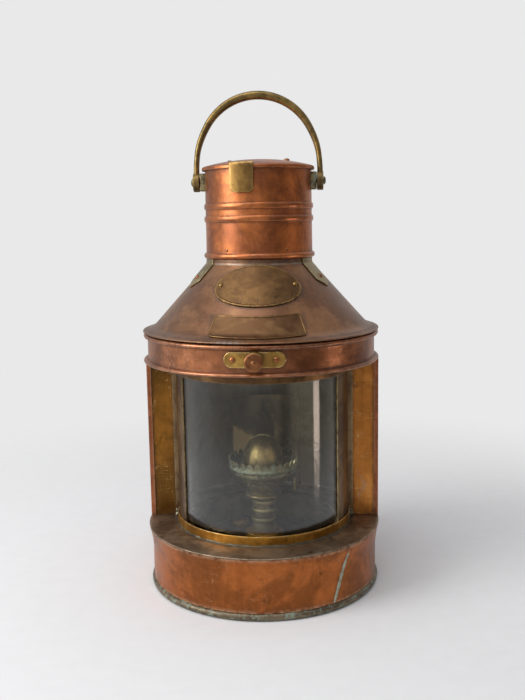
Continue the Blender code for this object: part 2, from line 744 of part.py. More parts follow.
def curve_mesh(curve):
    """A curve as a welded mesh."""
    guide = bpy.data.objects.new(curve.name + "_path", curve)
    CUTTERS.objects.link(guide)
    bpy.context.view_layer.update()
    mesh = bpy.data.meshes.new_from_object(guide.evaluated_get(bpy.context.evaluated_depsgraph_get()))
    bpy.data.objects.remove(guide)
    mesh.materials.clear()
    bm = bmesh.new()
    bm.from_mesh(mesh)
    bmesh.ops.remove_doubles(bm, verts=bm.verts, dist=WELD_DISTANCE / 2)
    bm.to_mesh(mesh)
    bm.free()
    return mesh


def make_hood():
    sheet_drop = HOOD_WALL / CONE_UP
    brim_slope = BRIM_DROP / (BRIM_RADIUS - CONE_FOOT_RADIUS)
    lip_middle = LIP_BOTTOM + LIP_HEIGHT / 2
    outer = [
        (CONE_TOP_RADIUS, NECK_TOP),
        (CONE_TOP_RADIUS, CONE_TOP_Z),
        (CONE_FOOT_RADIUS, CONE_FOOT_Z),
        (BRIM_RADIUS, LIP_TOP),
        (LIP_RADIUS - LIP_ROUNDING, lip_middle + LIP_HEIGHT / 4),
        (LIP_RADIUS, lip_middle),
        (LIP_RADIUS - LIP_ROUNDING, lip_middle - LIP_HEIGHT / 4),
        (BRIM_RADIUS, LIP_BOTTOM),
    ]
    inner = [
        (BRIM_RADIUS - HOOD_WALL, LIP_BOTTOM + HOOD_WALL / 2),
        (BRIM_RADIUS - HOOD_WALL, LIP_TOP + brim_slope * HOOD_WALL - sheet_drop),
        (CONE_FOOT_RADIUS, CONE_FOOT_Z - sheet_drop),
        (CONE_TOP_RADIUS - HOOD_WALL, CONE_TOP_Z - sheet_drop + HOOD_WALL * CONE_OUT / CONE_UP),
        (CONE_TOP_RADIUS - HOOD_WALL, NECK_TOP),
    ]
    cone = turned("hood_cone", outer + inner, BODY_STEPS, dull_copper)

    spigot_top = LIP_TOP + brim_slope * (BRIM_RADIUS - SPIGOT_RADIUS) - sheet_drop - SEAT_GAP
    spigot_inner = SPIGOT_RADIUS - SPIGOT_WALL
    section = ring(SPIGOT_RADIUS, spigot_inner, BAND_TOP - SPIGOT_DEPTH, spigot_top)
    spigot = turned("hood_spigot", section, BODY_STEPS, dull_copper)

    half = TONGUE_WIDTH / 2
    face = sqrt(spigot_inner ** 2 - half ** 2) - SEAT_GAP
    low = (-half, -face, BAND_TOP - SPIGOT_DEPTH - TONGUE_LENGTH)
    high = (half, TONGUE_WALL - face, spigot_top)
    tongue = box("catch_tongue", low, high, brass)

    strap = hinge_strap()
    return [cone, spigot, tongue, strap], face


def hinge_strap():
    """A strap from the hinge's middle knuckle over the lip and up the cone."""
    reach, height = on_cone(CONE_SLANT - HINGE_STRAP_REACH)
    foot, foot_height = on_cone(CONE_SLANT)
    over_lip = LIP_TOP + SEAT_GAP
    path = [
        (HINGE_Y, HINGE_Z + KNUCKLE_RADIUS - HINGE_STRAP_WALL),
        (BRIM_RADIUS + SEAT_GAP, over_lip),
        (foot, foot_height),
        (reach, height),
    ]
    half = HINGE_STRAP_WIDTH / 2
    rows = [[(-half, y, z), (half, y, z)] for y, z in path]
    strap = sheet("hinge_strap", rows, HINGE_STRAP_WALL, 1, brass)
    knuckle = cross_rod("strap_knuckle", KNUCKLE_RADIUS, -half, half, HINGE_Y, HINGE_Z, tool)
    bore_end = half + CUT_OVERRUN
    bore = cross_rod("strap_bore", HINGE_PIN_RADIUS + RUNNING_GAP, -bore_end, bore_end, HINGE_Y, HINGE_Z, tool)
    join(strap, knuckle)
    cut(strap, bore)
    return strap


def make_hinge_leaf():
    """The leaf on the band, with two knuckles, and the pin through all three."""
    half = HINGE_LEAF_WIDTH / 2
    inner = HINGE_LEAF_BACK
    low = (-half, inner, HINGE_Z - HINGE_LEAF_DROP)
    high = (half, inner + HINGE_LEAF_WALL, HINGE_Z)
    leaf = box("hinge_leaf", low, high, brass)
    knuckle = cross_rod("leaf_knuckles", KNUCKLE_RADIUS, -half, half, HINGE_Y, HINGE_Z, tool)
    notch_half = HINGE_STRAP_WIDTH / 2 + SEAT_GAP
    notch_over = KNUCKLE_RADIUS + CUT_OVERRUN
    notch_low = (-notch_half, inner - CUT_OVERRUN, HINGE_Z - KNUCKLE_RADIUS - SEAT_GAP)
    notch = box("leaf_notch", notch_low, (notch_half, HINGE_Y + notch_over, HINGE_Z + notch_over), tool)
    bore_end = half + CUT_OVERRUN
    bore = cross_rod("leaf_bore", HINGE_PIN_RADIUS + RUNNING_GAP, -bore_end, bore_end, HINGE_Y, HINGE_Z, tool)
    join(leaf, knuckle)
    cut(leaf, notch, bore)

    pin_end = half + SEAT_GAP + HINGE_PIN_HEAD
    head = half + SEAT_GAP
    head_radius = HINGE_PIN_RADIUS + HINGE_PIN_HEAD
    profile = [
        (0, pin_end),
        (HINGE_PIN_RADIUS, pin_end),
        (head_radius, head),
        (HINGE_PIN_RADIUS, head),
        (HINGE_PIN_RADIUS, -head),
        (head_radius, -head),
        (HINGE_PIN_RADIUS, -pin_end),
        (0, -pin_end),
    ]
    pin = turned("hinge_pin", profile, RIVET_STEPS, brass, on_axis=True)
    aim(pin, (0, HINGE_Y, HINGE_Z), (1, 0, 0))


def collar_radius(height):
    """The collar's wall narrows a little from its foot to its top."""
    return COLLAR_BOTTOM_RADIUS + (COLLAR_TOP_RADIUS - COLLAR_BOTTOM_RADIUS) * height / COLLAR_HEIGHT


def make_collar():
    outer = [(COLLAR_TOP_RADIUS, COLLAR_TOP)]
    for middle in (UPPER_COLLAR_BEAD, LOWER_COLLAR_BEAD):
        outer += bead(collar_radius(middle), COLLAR_BEAD_PROUD, COLLAR_FOOT + middle, COLLAR_BEAD_HEIGHT)
    outer += bead(COLLAR_BOTTOM_RADIUS, FOOT_BEAD_PROUD, COLLAR_FOOT + FOOT_BEAD_HEIGHT / 2, FOOT_BEAD_HEIGHT)
    inner = [(COLLAR_BOTTOM_RADIUS - COLLAR_WALL, COLLAR_FOOT), (COLLAR_TOP_RADIUS - COLLAR_WALL, COLLAR_TOP)]
    pieces = [turned("collar", outer + inner, COLLAR_STEPS, copper)]

    # A strap runs down the neck, bends on to the cone and ends in a point
    neck = CONE_TOP_RADIUS + SEAT_GAP
    bend = CONE_TOP_Z + SEAT_GAP * CONE_UP / (1 + CONE_OUT)
    stations = [
        (neck, NECK_TOP, STRAP_WIDTH),
        (neck, bend, STRAP_WIDTH),
        (*on_cone(STRAP_LENGTH - STRAP_POINT), STRAP_WIDTH),
        (*on_cone(STRAP_LENGTH), STRAP_POINT_WIDTH),
    ]
    for side, angle in STRAP_ANGLES.items():
        pieces.append(wrapped("strap_" + side, stations, STRAP_WALL, brass, angle, 4))
        place, outward = cone_place(STRAP_RIVET_DOWN, angle, 2 * SEAT_GAP + STRAP_WALL)
        name = "strap_rivet_" + side
        pieces.append(rivet(name, place, outward, STRAP_RIVET_RADIUS, STRAP_RIVET_HEIGHT, brass))
    return pieces


def make_plates():
    columns = []
    for i in range(OVAL_COLUMNS):
        turn = OVAL_END_TURN * (2 * i / (OVAL_COLUMNS - 1) - 1)
        half = OVAL_HEIGHT / 2 * cos(turn)
        angle = PLATE_TURN + OVAL_WIDTH / 2 * sin(turn) / on_cone(OVAL_DOWN)[0]
        columns.append((angle, (on_cone(OVAL_DOWN - half), on_cone(OVAL_DOWN + half))))
    pieces = [laid("oval_plate", columns, OVAL_WALL, brass)]
    for side, sign in (("left", -1), ("right", 1)):
        angle = PLATE_TURN + sign * OVAL_RIVET_SPACING / 2 / on_cone(OVAL_DOWN)[0]
        place, outward = cone_place(OVAL_DOWN, angle, 2 * SEAT_GAP + OVAL_WALL)
        pieces.append(rivet("oval_rivet_" + side, place, outward, OVAL_RIVET_RADIUS, OVAL_RIVET_HEIGHT, brass))

    # The name plate sags towards its middle and bends from the cone on to the brim
    fold_width = NAME_TOP_WIDTH + (NAME_BOTTOM_WIDTH - NAME_TOP_WIDTH) * NAME_HEIGHT / (NAME_HEIGHT + NAME_BRIM_LAP)
    rows = [[], [], []]
    for i in range(NAME_COLUMNS + 1):
        share = 2 * i / NAME_COLUMNS - 1
        raised = NAME_SAG * share ** 2
        top = on_cone(CONE_SLANT - NAME_HEIGHT - raised)
        fold = on_cone(CONE_SLANT)
        foot = on_brim(NAME_BRIM_LAP - raised)
        stations = ((top, NAME_TOP_WIDTH), (fold, fold_width), (foot, NAME_BOTTOM_WIDTH))
        for row, ((radius, height), width) in zip(rows, stations):
            angle = PLATE_TURN + share * width / 2 / radius
            row.append((radius * sin(angle), -radius * cos(angle), height))
    pieces.append(sheet("name_plate", rows, NAME_WALL, 1, brass))
    return pieces


def make_lugs():
    """A lug on each side of the collar, with the pin that the bail turns on."""
    pieces = []
    back = COLLAR_TOP_RADIUS / 2
    hollow_radius = collar_radius(COLLAR_HEIGHT - 2 * PIVOT_BELOW_RIM) + SEAT_GAP
    hollow = turned("lug_back", rod(hollow_radius, COLLAR_FOOT, LID_SHOULDER), COLLAR_STEPS, tool, on_axis=True)
    bore_end = LUG_REACH + CUT_OVERRUN
    bore = cross_rod("pivot_bore", PIVOT_PIN_RADIUS + SEAT_GAP, -bore_end, bore_end, 0, PIVOT_Z, tool)
    head_foot = EYE_OUTER + SEAT_GAP
    for side, sign in (("left", -1), ("right", 1)):
        ends = sorted((sign * back, sign * LUG_REACH))
        low = (ends[0], -LUG_WIDTH / 2, PIVOT_Z - LUG_HEIGHT / 2)
        high = (ends[1], LUG_WIDTH / 2, PIVOT_Z + LUG_HEIGHT / 2)
        lug = box("lug_" + side, low, high, brass)
        cut(lug, hollow, bore)
        profile = [
            (0, head_foot + PIVOT_HEAD_HEIGHT),
            (PIVOT_HEAD_RADIUS / 2, head_foot + PIVOT_HEAD_HEIGHT),
            (PIVOT_HEAD_RADIUS, head_foot + PIVOT_HEAD_HEIGHT / 3),
            (PIVOT_HEAD_RADIUS, head_foot),
            (PIVOT_PIN_RADIUS, head_foot),
            (PIVOT_PIN_RADIUS, hollow_radius + SEAT_GAP),
            (0, hollow_radius + SEAT_GAP),
        ]
        pin = turned("pivot_pin_" + side, profile, RIVET_STEPS, brass, on_axis=True)
        aim(pin, (0, 0, PIVOT_Z), (sign, 0, 0))
        pieces += [lug, pin]
    return pieces


def make_bail():
    """A bar bent to an arch, round at the crown and flattened down to its eyes."""
    path = [(-EYE_MIDDLE, EYE_RADIUS / 4, 0), (-EYE_MIDDLE, EYE_RADIUS + BAIL_EYE_NECK, 0)]
    for i in range(BAIL_ARCH_STEPS + 1):
        turn = pi - pi * i / BAIL_ARCH_STEPS
        path.append((BAIL_ARCH_RADIUS * cos(turn), BAIL_RISE + BAIL_ARCH_RADIUS * sin(turn), sin(turn)))
    path += [(-x, z, crown) for x, z, crown in reversed(path[:2])]

    bm = bmesh.new()
    rings = []
    for i, (x, z, crown) in enumerate(path):
        before = path[max(i - 1, 0)]
        after = path[min(i + 1, len(path) - 1)]
        heading = atan2(after[1] - before[1], after[0] - before[0])
        across = (BAIL_LEG_THICKNESS + (BAIL_CROWN_THICKNESS - BAIL_LEG_THICKNESS) * crown) / 2
        deep = (BAIL_LEG_DEPTH + (BAIL_CROWN_DEPTH - BAIL_LEG_DEPTH) * crown) / 2
        loop = []
        for side in range(BAIL_SIDES):
            turn = 2 * pi * side / BAIL_SIDES
            out = across * cos(turn)
            loop.append(bm.verts.new((x - out * sin(heading), deep * sin(turn), z + out * cos(heading))))
        rings.append(loop)
    for first, second in zip(rings, rings[1:]):
        for side in range(BAIL_SIDES):
            after = (side + 1) % BAIL_SIDES
            bm.faces.new((first[side], first[after], second[after], second[side]))
    bm.faces.new(rings[0])
    bm.faces.new(rings[-1])
    bmesh.ops.recalc_face_normals(bm, faces=bm.faces)
    mesh = bpy.data.meshes.new("bail")
    bm.to_mesh(mesh)
    bm.free()
    bail = brass("bail", mesh)
    bail.location = (0, 0, PIVOT_Z)
    for side, sign in (("left", -1), ("right", 1)):
        profile = rod(EYE_RADIUS, EYE_INNER, EYE_OUTER)
        eye = turned("bail_eye_" + side, profile, BURNER_STEPS, tool, on_axis=True)
        join(bail, aim(eye, (0, 0, PIVOT_Z), (sign, 0, 0)))
    bore_end = EYE_OUTER + CUT_OVERRUN
    bore = cross_rod("eye_bore", PIVOT_PIN_RADIUS + RUNNING_GAP, -bore_end, bore_end, 0, PIVOT_Z, tool)
    cut(bail, bore)


def make_lid():
    """The domed lid with its front tab, two rivets and the bar that centres it."""
    shoulder = LID_RADIUS - LID_CLEARANCE - LID_WALL
    dome = [(shoulder * out, LID_SHOULDER + LID_RISE * up) for out, up in LID_DOME_SHARES]
    rim = [(LID_RADIUS, LID_SHOULDER - LID_RIM_HEIGHT / 4), (LID_RADIUS, LID_RIM_BOTTOM)]
    skirt_inner = COLLAR_TOP_RADIUS + LID_CLEARANCE
    inside = [(skirt_inner, LID_RIM_BOTTOM), (skirt_inner, LID_UNDERSIDE)]
    ceiling = [(shoulder * out, LID_UNDERSIDE + LID_RISE * up) for out, up in reversed(LID_DOME_SHARES[:-1])]
    lid = turned("lid", dome + rim + inside + ceiling, COLLAR_STEPS, copper, on_axis=True)

    out = LID_RADIUS + SEAT_GAP
    over = LID_SHOULDER + TAB_ABOVE_SHOULDER
    tab_foot = over - TAB_LENGTH
    path = [(out - TAB_FOOT, over, TAB_WIDTH), (out, over, TAB_WIDTH), (out, tab_foot + TAB_CORNER, TAB_WIDTH)]
    for turn in TAB_CORNER_TURNS:
        narrow = TAB_CORNER * (1 - cos(turn))
        path.append((out, tab_foot + TAB_CORNER * (1 - sin(turn)), TAB_WIDTH - 2 * narrow))
    rows = []
    for reach, height, width in path:
        rows.append([(side * width / 2, -reach, height) for side in (-1, 0, 1)])
    tab = sheet("lid_tab", rows, TAB_WALL, 1, brass)
    tab.rotation_euler.z = LID_TURN

    pieces = [lid, tab]
    half = LID_RIVET_SPACING / 2
    share = half / shoulder
    (low_out, low_up), (high_out, high_up) = LID_DOME_SHARES[1:3]
    up = low_up + (high_up - low_up) * (share - low_out) / (high_out - low_out)
    height = LID_SHOULDER + LID_RISE * up + 2 * SEAT_GAP
    for side, sign in (("left", -1), ("right", 1)):
        place = (sign * half * cos(LID_TURN), sign * half * sin(LID_TURN), height)
        pieces.append(rivet("lid_rivet_" + side, place, (0, 0, 1), LID_RIVET_RADIUS, LID_RIVET_HEIGHT, copper))

    bar_half = COLLAR_TOP_RADIUS - COLLAR_WALL - CROSS_BAR_CLEARANCE
    low = (-bar_half, -CROSS_BAR_WIDTH / 2, LID_UNDERSIDE - SEAT_GAP - CROSS_BAR_WALL)
    high = (bar_half, CROSS_BAR_WIDTH / 2, LID_UNDERSIDE - SEAT_GAP)
    bar = box("lid_cross_bar", low, high, brass)
    bar.rotation_euler.z = LID_TURN
    pieces.append(bar)
    return pieces


def make_font():
    """A shallow cup and the top soldered on it, with holes for the burner and the filler."""
    inner_radius = FONT_RADIUS - FONT_WALL
    rim = FONT_TOP - FONT_SHOULDER
    cup = [
        (0, FONT_FOOT + FONT_WALL),
        (inner_radius, FONT_FOOT + FONT_WALL),
        (inner_radius, rim),
        (FONT_RADIUS, rim),
        (FONT_RADIUS, FONT_FOOT),
        (0, FONT_FOOT),
    ]
    top_foot = rim + SEAT_GAP
    roof = FONT_TOP - FONT_WALL
    top = [
        (FONT_RADIUS - FONT_SHOULDER, FONT_TOP),
        (FONT_RADIUS, top_foot + FONT_WALL),
        (FONT_RADIUS, top_foot),
        (inner_radius, top_foot),
        (inner_radius - FONT_SHOULDER, roof),
        (FONT_NECK_RADIUS, roof),
        (FONT_NECK_RADIUS, FONT_TOP),
    ]
    pieces = [turned("oil_font", cup, FONT_STEPS, tinned, on_axis=True)]
    font_top = turned("font_top", top, FONT_STEPS, tinned)
    pieces.append(font_top)
    filler_x = FILLER_OUT * sin(FILLER_ANGLE)
    filler_y = -FILLER_OUT * cos(FILLER_ANGLE)
    hole_profile = rod(FILLER_RADIUS, roof - CUT_OVERRUN, FONT_TOP + CUT_OVERRUN)
    hole = turned("filler_hole", hole_profile, RIVET_STEPS, tool, on_axis=True)
    hole.location = (filler_x, filler_y, 0)
    cut(font_top, hole)

    seat = FONT_TOP + SEAT_GAP
    plug_radius = FILLER_RADIUS - RUNNING_GAP
    cap_profile = [
        (0, seat + CAP_HEIGHT),
        (CAP_RADIUS - CAP_CHAMFER, seat + CAP_HEIGHT),
        (CAP_RADIUS, seat + CAP_HEIGHT - CAP_CHAMFER),
        (CAP_RADIUS, seat),
        (plug_radius, seat),
        (plug_radius, seat - CAP_PLUG),
        (0, seat - CAP_PLUG),
    ]
    cap = turned("filler_cap", cap_profile, RIVET_STEPS, brass, on_axis=True)
    cap.location = (filler_x, filler_y, 0)
    return pieces


def make_burner():
    collar_bore = STEM_RADIUS + RUNNING_GAP
    section = ring(BURNER_COLLAR_RADIUS, collar_bore, BURNER_COLLAR_FOOT, STEM_FOOT - SEAT_GAP)
    pieces = [turned("burner_collar", section, BURNER_STEPS, brass)]

    outer = [
        (BOWL_TOP_RADIUS, BURNER_TOP),
        (BOWL_RADIUS, BOWL_RIM),
        (BOWL_WAIST_RADIUS, BOWL_FOOT),
        (SKIRT_RADIUS, BOWL_FOOT - SKIRT_CHAMFER),
        (SKIRT_RADIUS, SKIRT_FOOT + SKIRT_CHAMFER),
        (STEM_RADIUS, SKIRT_FOOT),
    ]
    for share in STEM_RING_SHARES:
        outer += bead(STEM_RADIUS, STEM_RING_PROUD, SKIRT_FOOT - STEM_LENGTH * share, STEM_RING_HEIGHT, 3)
    outer.append((STEM_RADIUS + STEM_RING_PROUD, STEM_FOOT + STEM_RING_HEIGHT))
    outer.append((STEM_RADIUS + STEM_RING_PROUD, STEM_FOOT))
    nose = [(STEM_RADIUS, STEM_FOOT), (STEM_RADIUS, BURNER_COLLAR_FOOT), (0, BURNER_COLLAR_FOOT)]
    profile = [(0, BURNER_TOP)] + outer + nose
    body = turned("burner_body", profile, BURNER_STEPS, burner_brass, on_axis=True)

    tube_half_width = WICK_WIDTH / 2 + WICK_CLEARANCE + WICK_TUBE_WALL
    tube_half_depth = WICK_THICKNESS / 2 + WICK_CLEARANCE + WICK_TUBE_WALL
    tube_top = DOME_TOP - WICK_TUBE_BELOW_DOME
    low = (-tube_half_width, -tube_half_depth, BOWL_RIM)
    tube = box("wick_tube", low, (tube_half_width, tube_half_depth, tube_top), tool)
    slot_half_width = tube_half_width - WICK_TUBE_WALL
    slot_half_depth = tube_half_depth - WICK_TUBE_WALL
    slot_low = (-slot_half_width, -slot_half_depth, BURNER_COLLAR_FOOT - CUT_OVERRUN)
    slot_high = (slot_half_width, slot_half_depth, tube_top + CUT_OVERRUN)
    slot = box("wick_slot", slot_low, slot_high, tool)

    spur_reach = WINDER_SPUR_RADIUS + RUNNING_GAP
    spur_side = WINDER_SPUR_SPACING / 2 + WINDER_SPUR_THICKNESS / 2 + RUNNING_GAP
    pocket_low = (-spur_side, WINDER_Y - spur_reach, WINDER_Z - spur_reach)
    pocket = box("spur_pocket", pocket_low, (spur_side, 0, WINDER_Z + spur_reach), tool)
    bore_radius = WINDER_SHAFT_RADIUS + RUNNING_GAP
    bore = cross_rod("shaft_bore", bore_radius, -spur_side, BOWL_TOP_RADIUS, WINDER_Y, WINDER_Z, tool)
    join(body, tube)
    cut(body, slot, pocket, bore)
    pieces.append(body)
    pieces.append(make_gallery())
    pieces.append(make_dome())
    return pieces


def make_gallery():
    """A dish with two ridges and a ring of teeth round the dome."""
    inner = GALLERY_RADIUS - GALLERY_WALL
    hole = DOME_RADIUS - GALLERY_LIP
    profile = [
        (GALLERY_RADIUS, TOOTH_FOOT),
        (GALLERY_RADIUS, GALLERY_STEP),
        (GALLERY_RADIUS - GALLERY_LIP, GALLERY_STEP - GALLERY_LIP),
        (GALLERY_RADIUS - 2 * GALLERY_LIP, GALLERY_FOOT + GALLERY_WALL),
        (GALLERY_RADIUS - 4 * GALLERY_LIP, GALLERY_FOOT),
        (hole, GALLERY_FOOT),
        (hole, GALLERY_FOOT + GALLERY_WALL),
        (inner - 3 * GALLERY_LIP, GALLERY_FOOT + GALLERY_WALL),
        (inner, GALLERY_STEP),
        (inner, TOOTH_FOOT),
    ]
    gallery = turned("gallery", profile, TOOTH_COUNT, burner_brass)

    # The teeth are one band whose top edge goes from root to tip and back
    count = 2 * TOOTH_COUNT
    bm = bmesh.new()
    foot_ring = []
    tip_ring = []
    for i in range(count):
        angle = 2 * pi * i / count
        rise = 1 if i % 2 else TOOTH_ROOT_SHARE
        reach = GALLERY_RADIUS + GALLERY_LIP * rise
        foot = (GALLERY_RADIUS * sin(angle), -GALLERY_RADIUS * cos(angle), TOOTH_FOOT - GALLERY_WALL)
        tip = (reach * sin(angle), -reach * cos(angle), TOOTH_FOOT + TOOTH_HEIGHT * rise)
        foot_ring.append(bm.verts.new(foot))
        tip_ring.append(bm.verts.new(tip))
    for i in range(count):
        after = (i + 1) % count
        bm.faces.new((tip_ring[i], foot_ring[i], foot_ring[after], tip_ring[after]))
    mesh = bpy.data.meshes.new("teeth")
    bm.to_mesh(mesh)
    bm.free()
    teeth = tool("teeth", mesh)
    solidify = teeth.modifiers.new("wall", "SOLIDIFY")
    solidify.thickness = GALLERY_WALL
    solidify.offset = -1
    return join(gallery, teeth)


def make_dome():
    """A tall dome over the wick tube, slotted across its top."""
    rise = DOME_HEIGHT - DOME_SKIRT
    spring_line = DOME_FOOT + DOME_SKIRT
    inner_rise = rise - DOME_WALL
    inner_radius = DOME_RADIUS - DOME_WALL
    turns = [pi / 2 * i / DOME_ROWS for i in range(DOME_ROWS + 1)]
    outer = [(DOME_RADIUS * sin(turn), spring_line + rise * cos(turn)) for turn in turns]
    inner = [(inner_radius * sin(turn), spring_line + inner_rise * cos(turn)) for turn in reversed(turns)]
    profile = outer + [(DOME_RADIUS, DOME_FOOT), (inner_radius, DOME_FOOT)] + inner
    dome = turned("burner_dome", profile, BURNER_STEPS, burner_brass, on_axis=True)
    low = (-DOME_SLOT_WIDTH / 2, -DOME_SLOT_DEPTH / 2, spring_line)
    high = (DOME_SLOT_WIDTH / 2, DOME_SLOT_DEPTH / 2, DOME_TOP + CUT_OVERRUN)
    return cut(dome, box("flame_slot", low, high, tool))


def make_wick():
    top = DOME_TOP - WICK_BELOW_TOP
    low = (-WICK_WIDTH / 2, -WICK_THICKNESS / 2, BURNER_COLLAR_FOOT - WICK_TAIL)
    return box("wick", low, (WICK_WIDTH / 2, WICK_THICKNESS / 2, top), cotton)


def make_winder():
    """The winder shaft with its two spur wheels, and the knob on its end."""
    knob_face = WINDER_REACH
    knob_back = knob_face - KNOB_THICKNESS
    spur_out = WINDER_SPUR_SPACING / 2 + WINDER_SPUR_THICKNESS / 2
    profile = [(0, knob_back - SEAT_GAP), (WINDER_SHAFT_RADIUS, knob_back - SEAT_GAP)]
    for middle in (WINDER_SPUR_SPACING / 2, -WINDER_SPUR_SPACING / 2):
        high = middle + WINDER_SPUR_THICKNESS / 2
        low = middle - WINDER_SPUR_THICKNESS / 2
        profile += [
            (WINDER_SHAFT_RADIUS, high),
            (WINDER_SPUR_RADIUS, high),
            (WINDER_SPUR_RADIUS, low),
            (WINDER_SHAFT_RADIUS, low),
        ]
    profile[-1] = (0, -spur_out)
    shaft = turned("winder_shaft", profile, RIVET_STEPS, steel, on_axis=True)
    aim(shaft, (0, WINDER_Y, WINDER_Z), (1, 0, 0))
    knob_profile = [
        (0, knob_face),
        (KNOB_RADIUS - KNOB_CHAMFER, knob_face),
        (KNOB_RADIUS, knob_face - KNOB_CHAMFER),
        (KNOB_RADIUS, knob_back + KNOB_CHAMFER),
        (KNOB_RADIUS - KNOB_CHAMFER, knob_back),
        (0, knob_back),
    ]
    knob = turned("winder_knob", knob_profile, BURNER_STEPS, burner_brass, on_axis=True)
    aim(knob, (0, WINDER_Y, WINDER_Z), (1, 0, 0))
    return [shaft, knob]


def make_reflector():
    """A concave sheet behind the burner, on a bracket from the rear wall."""
    setback = SHELL_RADIUS - REFLECTOR_STANDOFF
    centre = setback - REFLECTOR_CURVE
    arc = round_points(REFLECTOR_CURVE, pi - REFLECTOR_HALF_ANGLE, pi + REFLECTOR_HALF_ANGLE, REFLECTOR_POINTS)
    plan = [(x, centre + y) for x, y in arc]
    top = REFLECTOR_BOTTOM + REFLECTOR_HEIGHT
    upright("reflector", plan, REFLECTOR_BOTTOM, top, REFLECTOR_WALL, tinned)
    half = BRACKET_WIDTH / 2
    front = setback + SEAT_GAP
    back = sqrt((SHELL_RADIUS - SHELL_WALL) ** 2 - half ** 2) - 2 * SEAT_GAP
    middle = (REFLECTOR_BOTTOM + top) / 2
    low = (-half, front, middle - BRACKET_HEIGHT / 2)
    box("reflector_bracket", low, (half, back, middle + BRACKET_HEIGHT / 2), tinned)


def main():
    for old in list(bpy.data.objects):
        bpy.data.objects.remove(old)
    bpy.context.scene.collection.children.link(LAMP)
    bpy.context.scene.collection.children.link(CUTTERS)

    make_base()
    make_body()
    make_window()
    make_band()
    make_hinge_leaf()
    make_spring()
    make_reflector()
    hood_pieces, tongue_face = make_hood()
    hood_pieces += make_collar() + make_plates() + make_lugs()
    pivot("hood_hinge_axis", (0, HINGE_Y, HINGE_Z), hood_pieces)
    pivot("lid_turn_axis", (0, 0, COLLAR_TOP), make_lid())
    make_bail()
    pivot("latch_axis", (0, -BUTTON_BACK, LATCH_Z), [make_button(tongue_face)])
    pivot("font_lift_axis", (0, 0, FONT_FOOT), make_font() + make_burner())
    pivot("wick_axis", (0, 0, BURNER_TOP), [make_wick()])
    pivot("winder_axis", (0, WINDER_Y, WINDER_Z), make_winder())


main()
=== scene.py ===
"""A ship's stern navigation lamp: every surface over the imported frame, its finishes, light and camera."""
from math import cos, pi, radians, sin, sqrt
import bmesh
import bpy
import numpy as np
from mathutils import Matrix, Vector


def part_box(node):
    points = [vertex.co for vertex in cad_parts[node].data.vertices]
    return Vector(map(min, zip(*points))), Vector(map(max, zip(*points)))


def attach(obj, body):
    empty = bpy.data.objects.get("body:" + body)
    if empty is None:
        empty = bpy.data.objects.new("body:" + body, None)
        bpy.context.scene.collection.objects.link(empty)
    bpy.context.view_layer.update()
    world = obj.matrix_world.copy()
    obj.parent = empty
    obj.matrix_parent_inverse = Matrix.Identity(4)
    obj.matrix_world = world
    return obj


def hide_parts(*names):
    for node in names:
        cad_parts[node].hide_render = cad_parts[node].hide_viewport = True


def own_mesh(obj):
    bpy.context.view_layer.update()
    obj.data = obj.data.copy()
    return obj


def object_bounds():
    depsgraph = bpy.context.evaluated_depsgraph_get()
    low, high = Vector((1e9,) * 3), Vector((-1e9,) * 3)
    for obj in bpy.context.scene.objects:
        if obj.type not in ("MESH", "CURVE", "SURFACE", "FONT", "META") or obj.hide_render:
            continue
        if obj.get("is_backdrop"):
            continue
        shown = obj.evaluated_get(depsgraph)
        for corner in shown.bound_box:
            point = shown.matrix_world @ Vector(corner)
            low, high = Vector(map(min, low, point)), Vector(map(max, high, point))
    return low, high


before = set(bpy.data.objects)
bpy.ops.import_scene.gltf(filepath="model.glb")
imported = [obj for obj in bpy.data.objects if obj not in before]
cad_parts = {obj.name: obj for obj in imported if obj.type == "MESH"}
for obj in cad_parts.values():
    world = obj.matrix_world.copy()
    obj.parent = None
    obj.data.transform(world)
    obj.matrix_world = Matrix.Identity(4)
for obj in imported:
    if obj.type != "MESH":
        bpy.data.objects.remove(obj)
CAD_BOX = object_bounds()

# Lengths below are in millimetres, and angles are counted round the lamp from its front towards +X
MM = 0.001
WELD = 2e-6
SEAT_GAP = 0.3
SHEET = 1.2
THIN_SHEET = 1.0
TURN_STEPS = 288
SMALL_STEPS = 64
SIDES = {"left": -1, "right": 1}


def corners_of(node):
    """Lowest and highest corner of a CAD node in millimetres."""
    low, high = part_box(node)
    return np.array(low) / MM, np.array(high) / MM


def levels(node):
    """Foot and head of a CAD node."""
    low, high = corners_of(node)
    return low[2], high[2]


def reach(node):
    """The radius of a turned node."""
    return corners_of(node)[1][0]


# Base and body
DRUM_FOOT, DRUM_HEAD = levels("base_drum")
DRUM_FLARE = 3.4
DRUM_FLARE_HEIGHT = 24.0
DRUM_RADIUS = reach("base_drum") - DRUM_FLARE
WIRE_RADIUS = 3.6
SEAM_FOOT = (37.5, 7.9)
SEAM_LEAN = 0.182
DECK_HOLE = 74.5
SHELL_RADIUS = reach("body_shell")
HEM_WIDTH = 4.7
SHELL_TUCK = 1.25
WALL_FOOT, WALL_HEAD = levels("body_shell")
SCREEN_SPAN = (87.2, 116.0)
SCREEN_FRONT = 1.5
SILL_RADIUS = 88.6
SILL_WALL = 1.5
POST_RADIUS = 86.8
POST_FLANGE = 5.0
POST_SOIL = (71, 216)
WINDOW_EDGE = radians(60.2)
RING_EDGE = radians(89.8)
GLASS_RADIUS = 85.3
GLASS_WALL = 3.0
GLASS_EDGE = radians(87.5)
HEAD_RING_FOOT, HEAD_RING_HEAD = levels("head_ring")

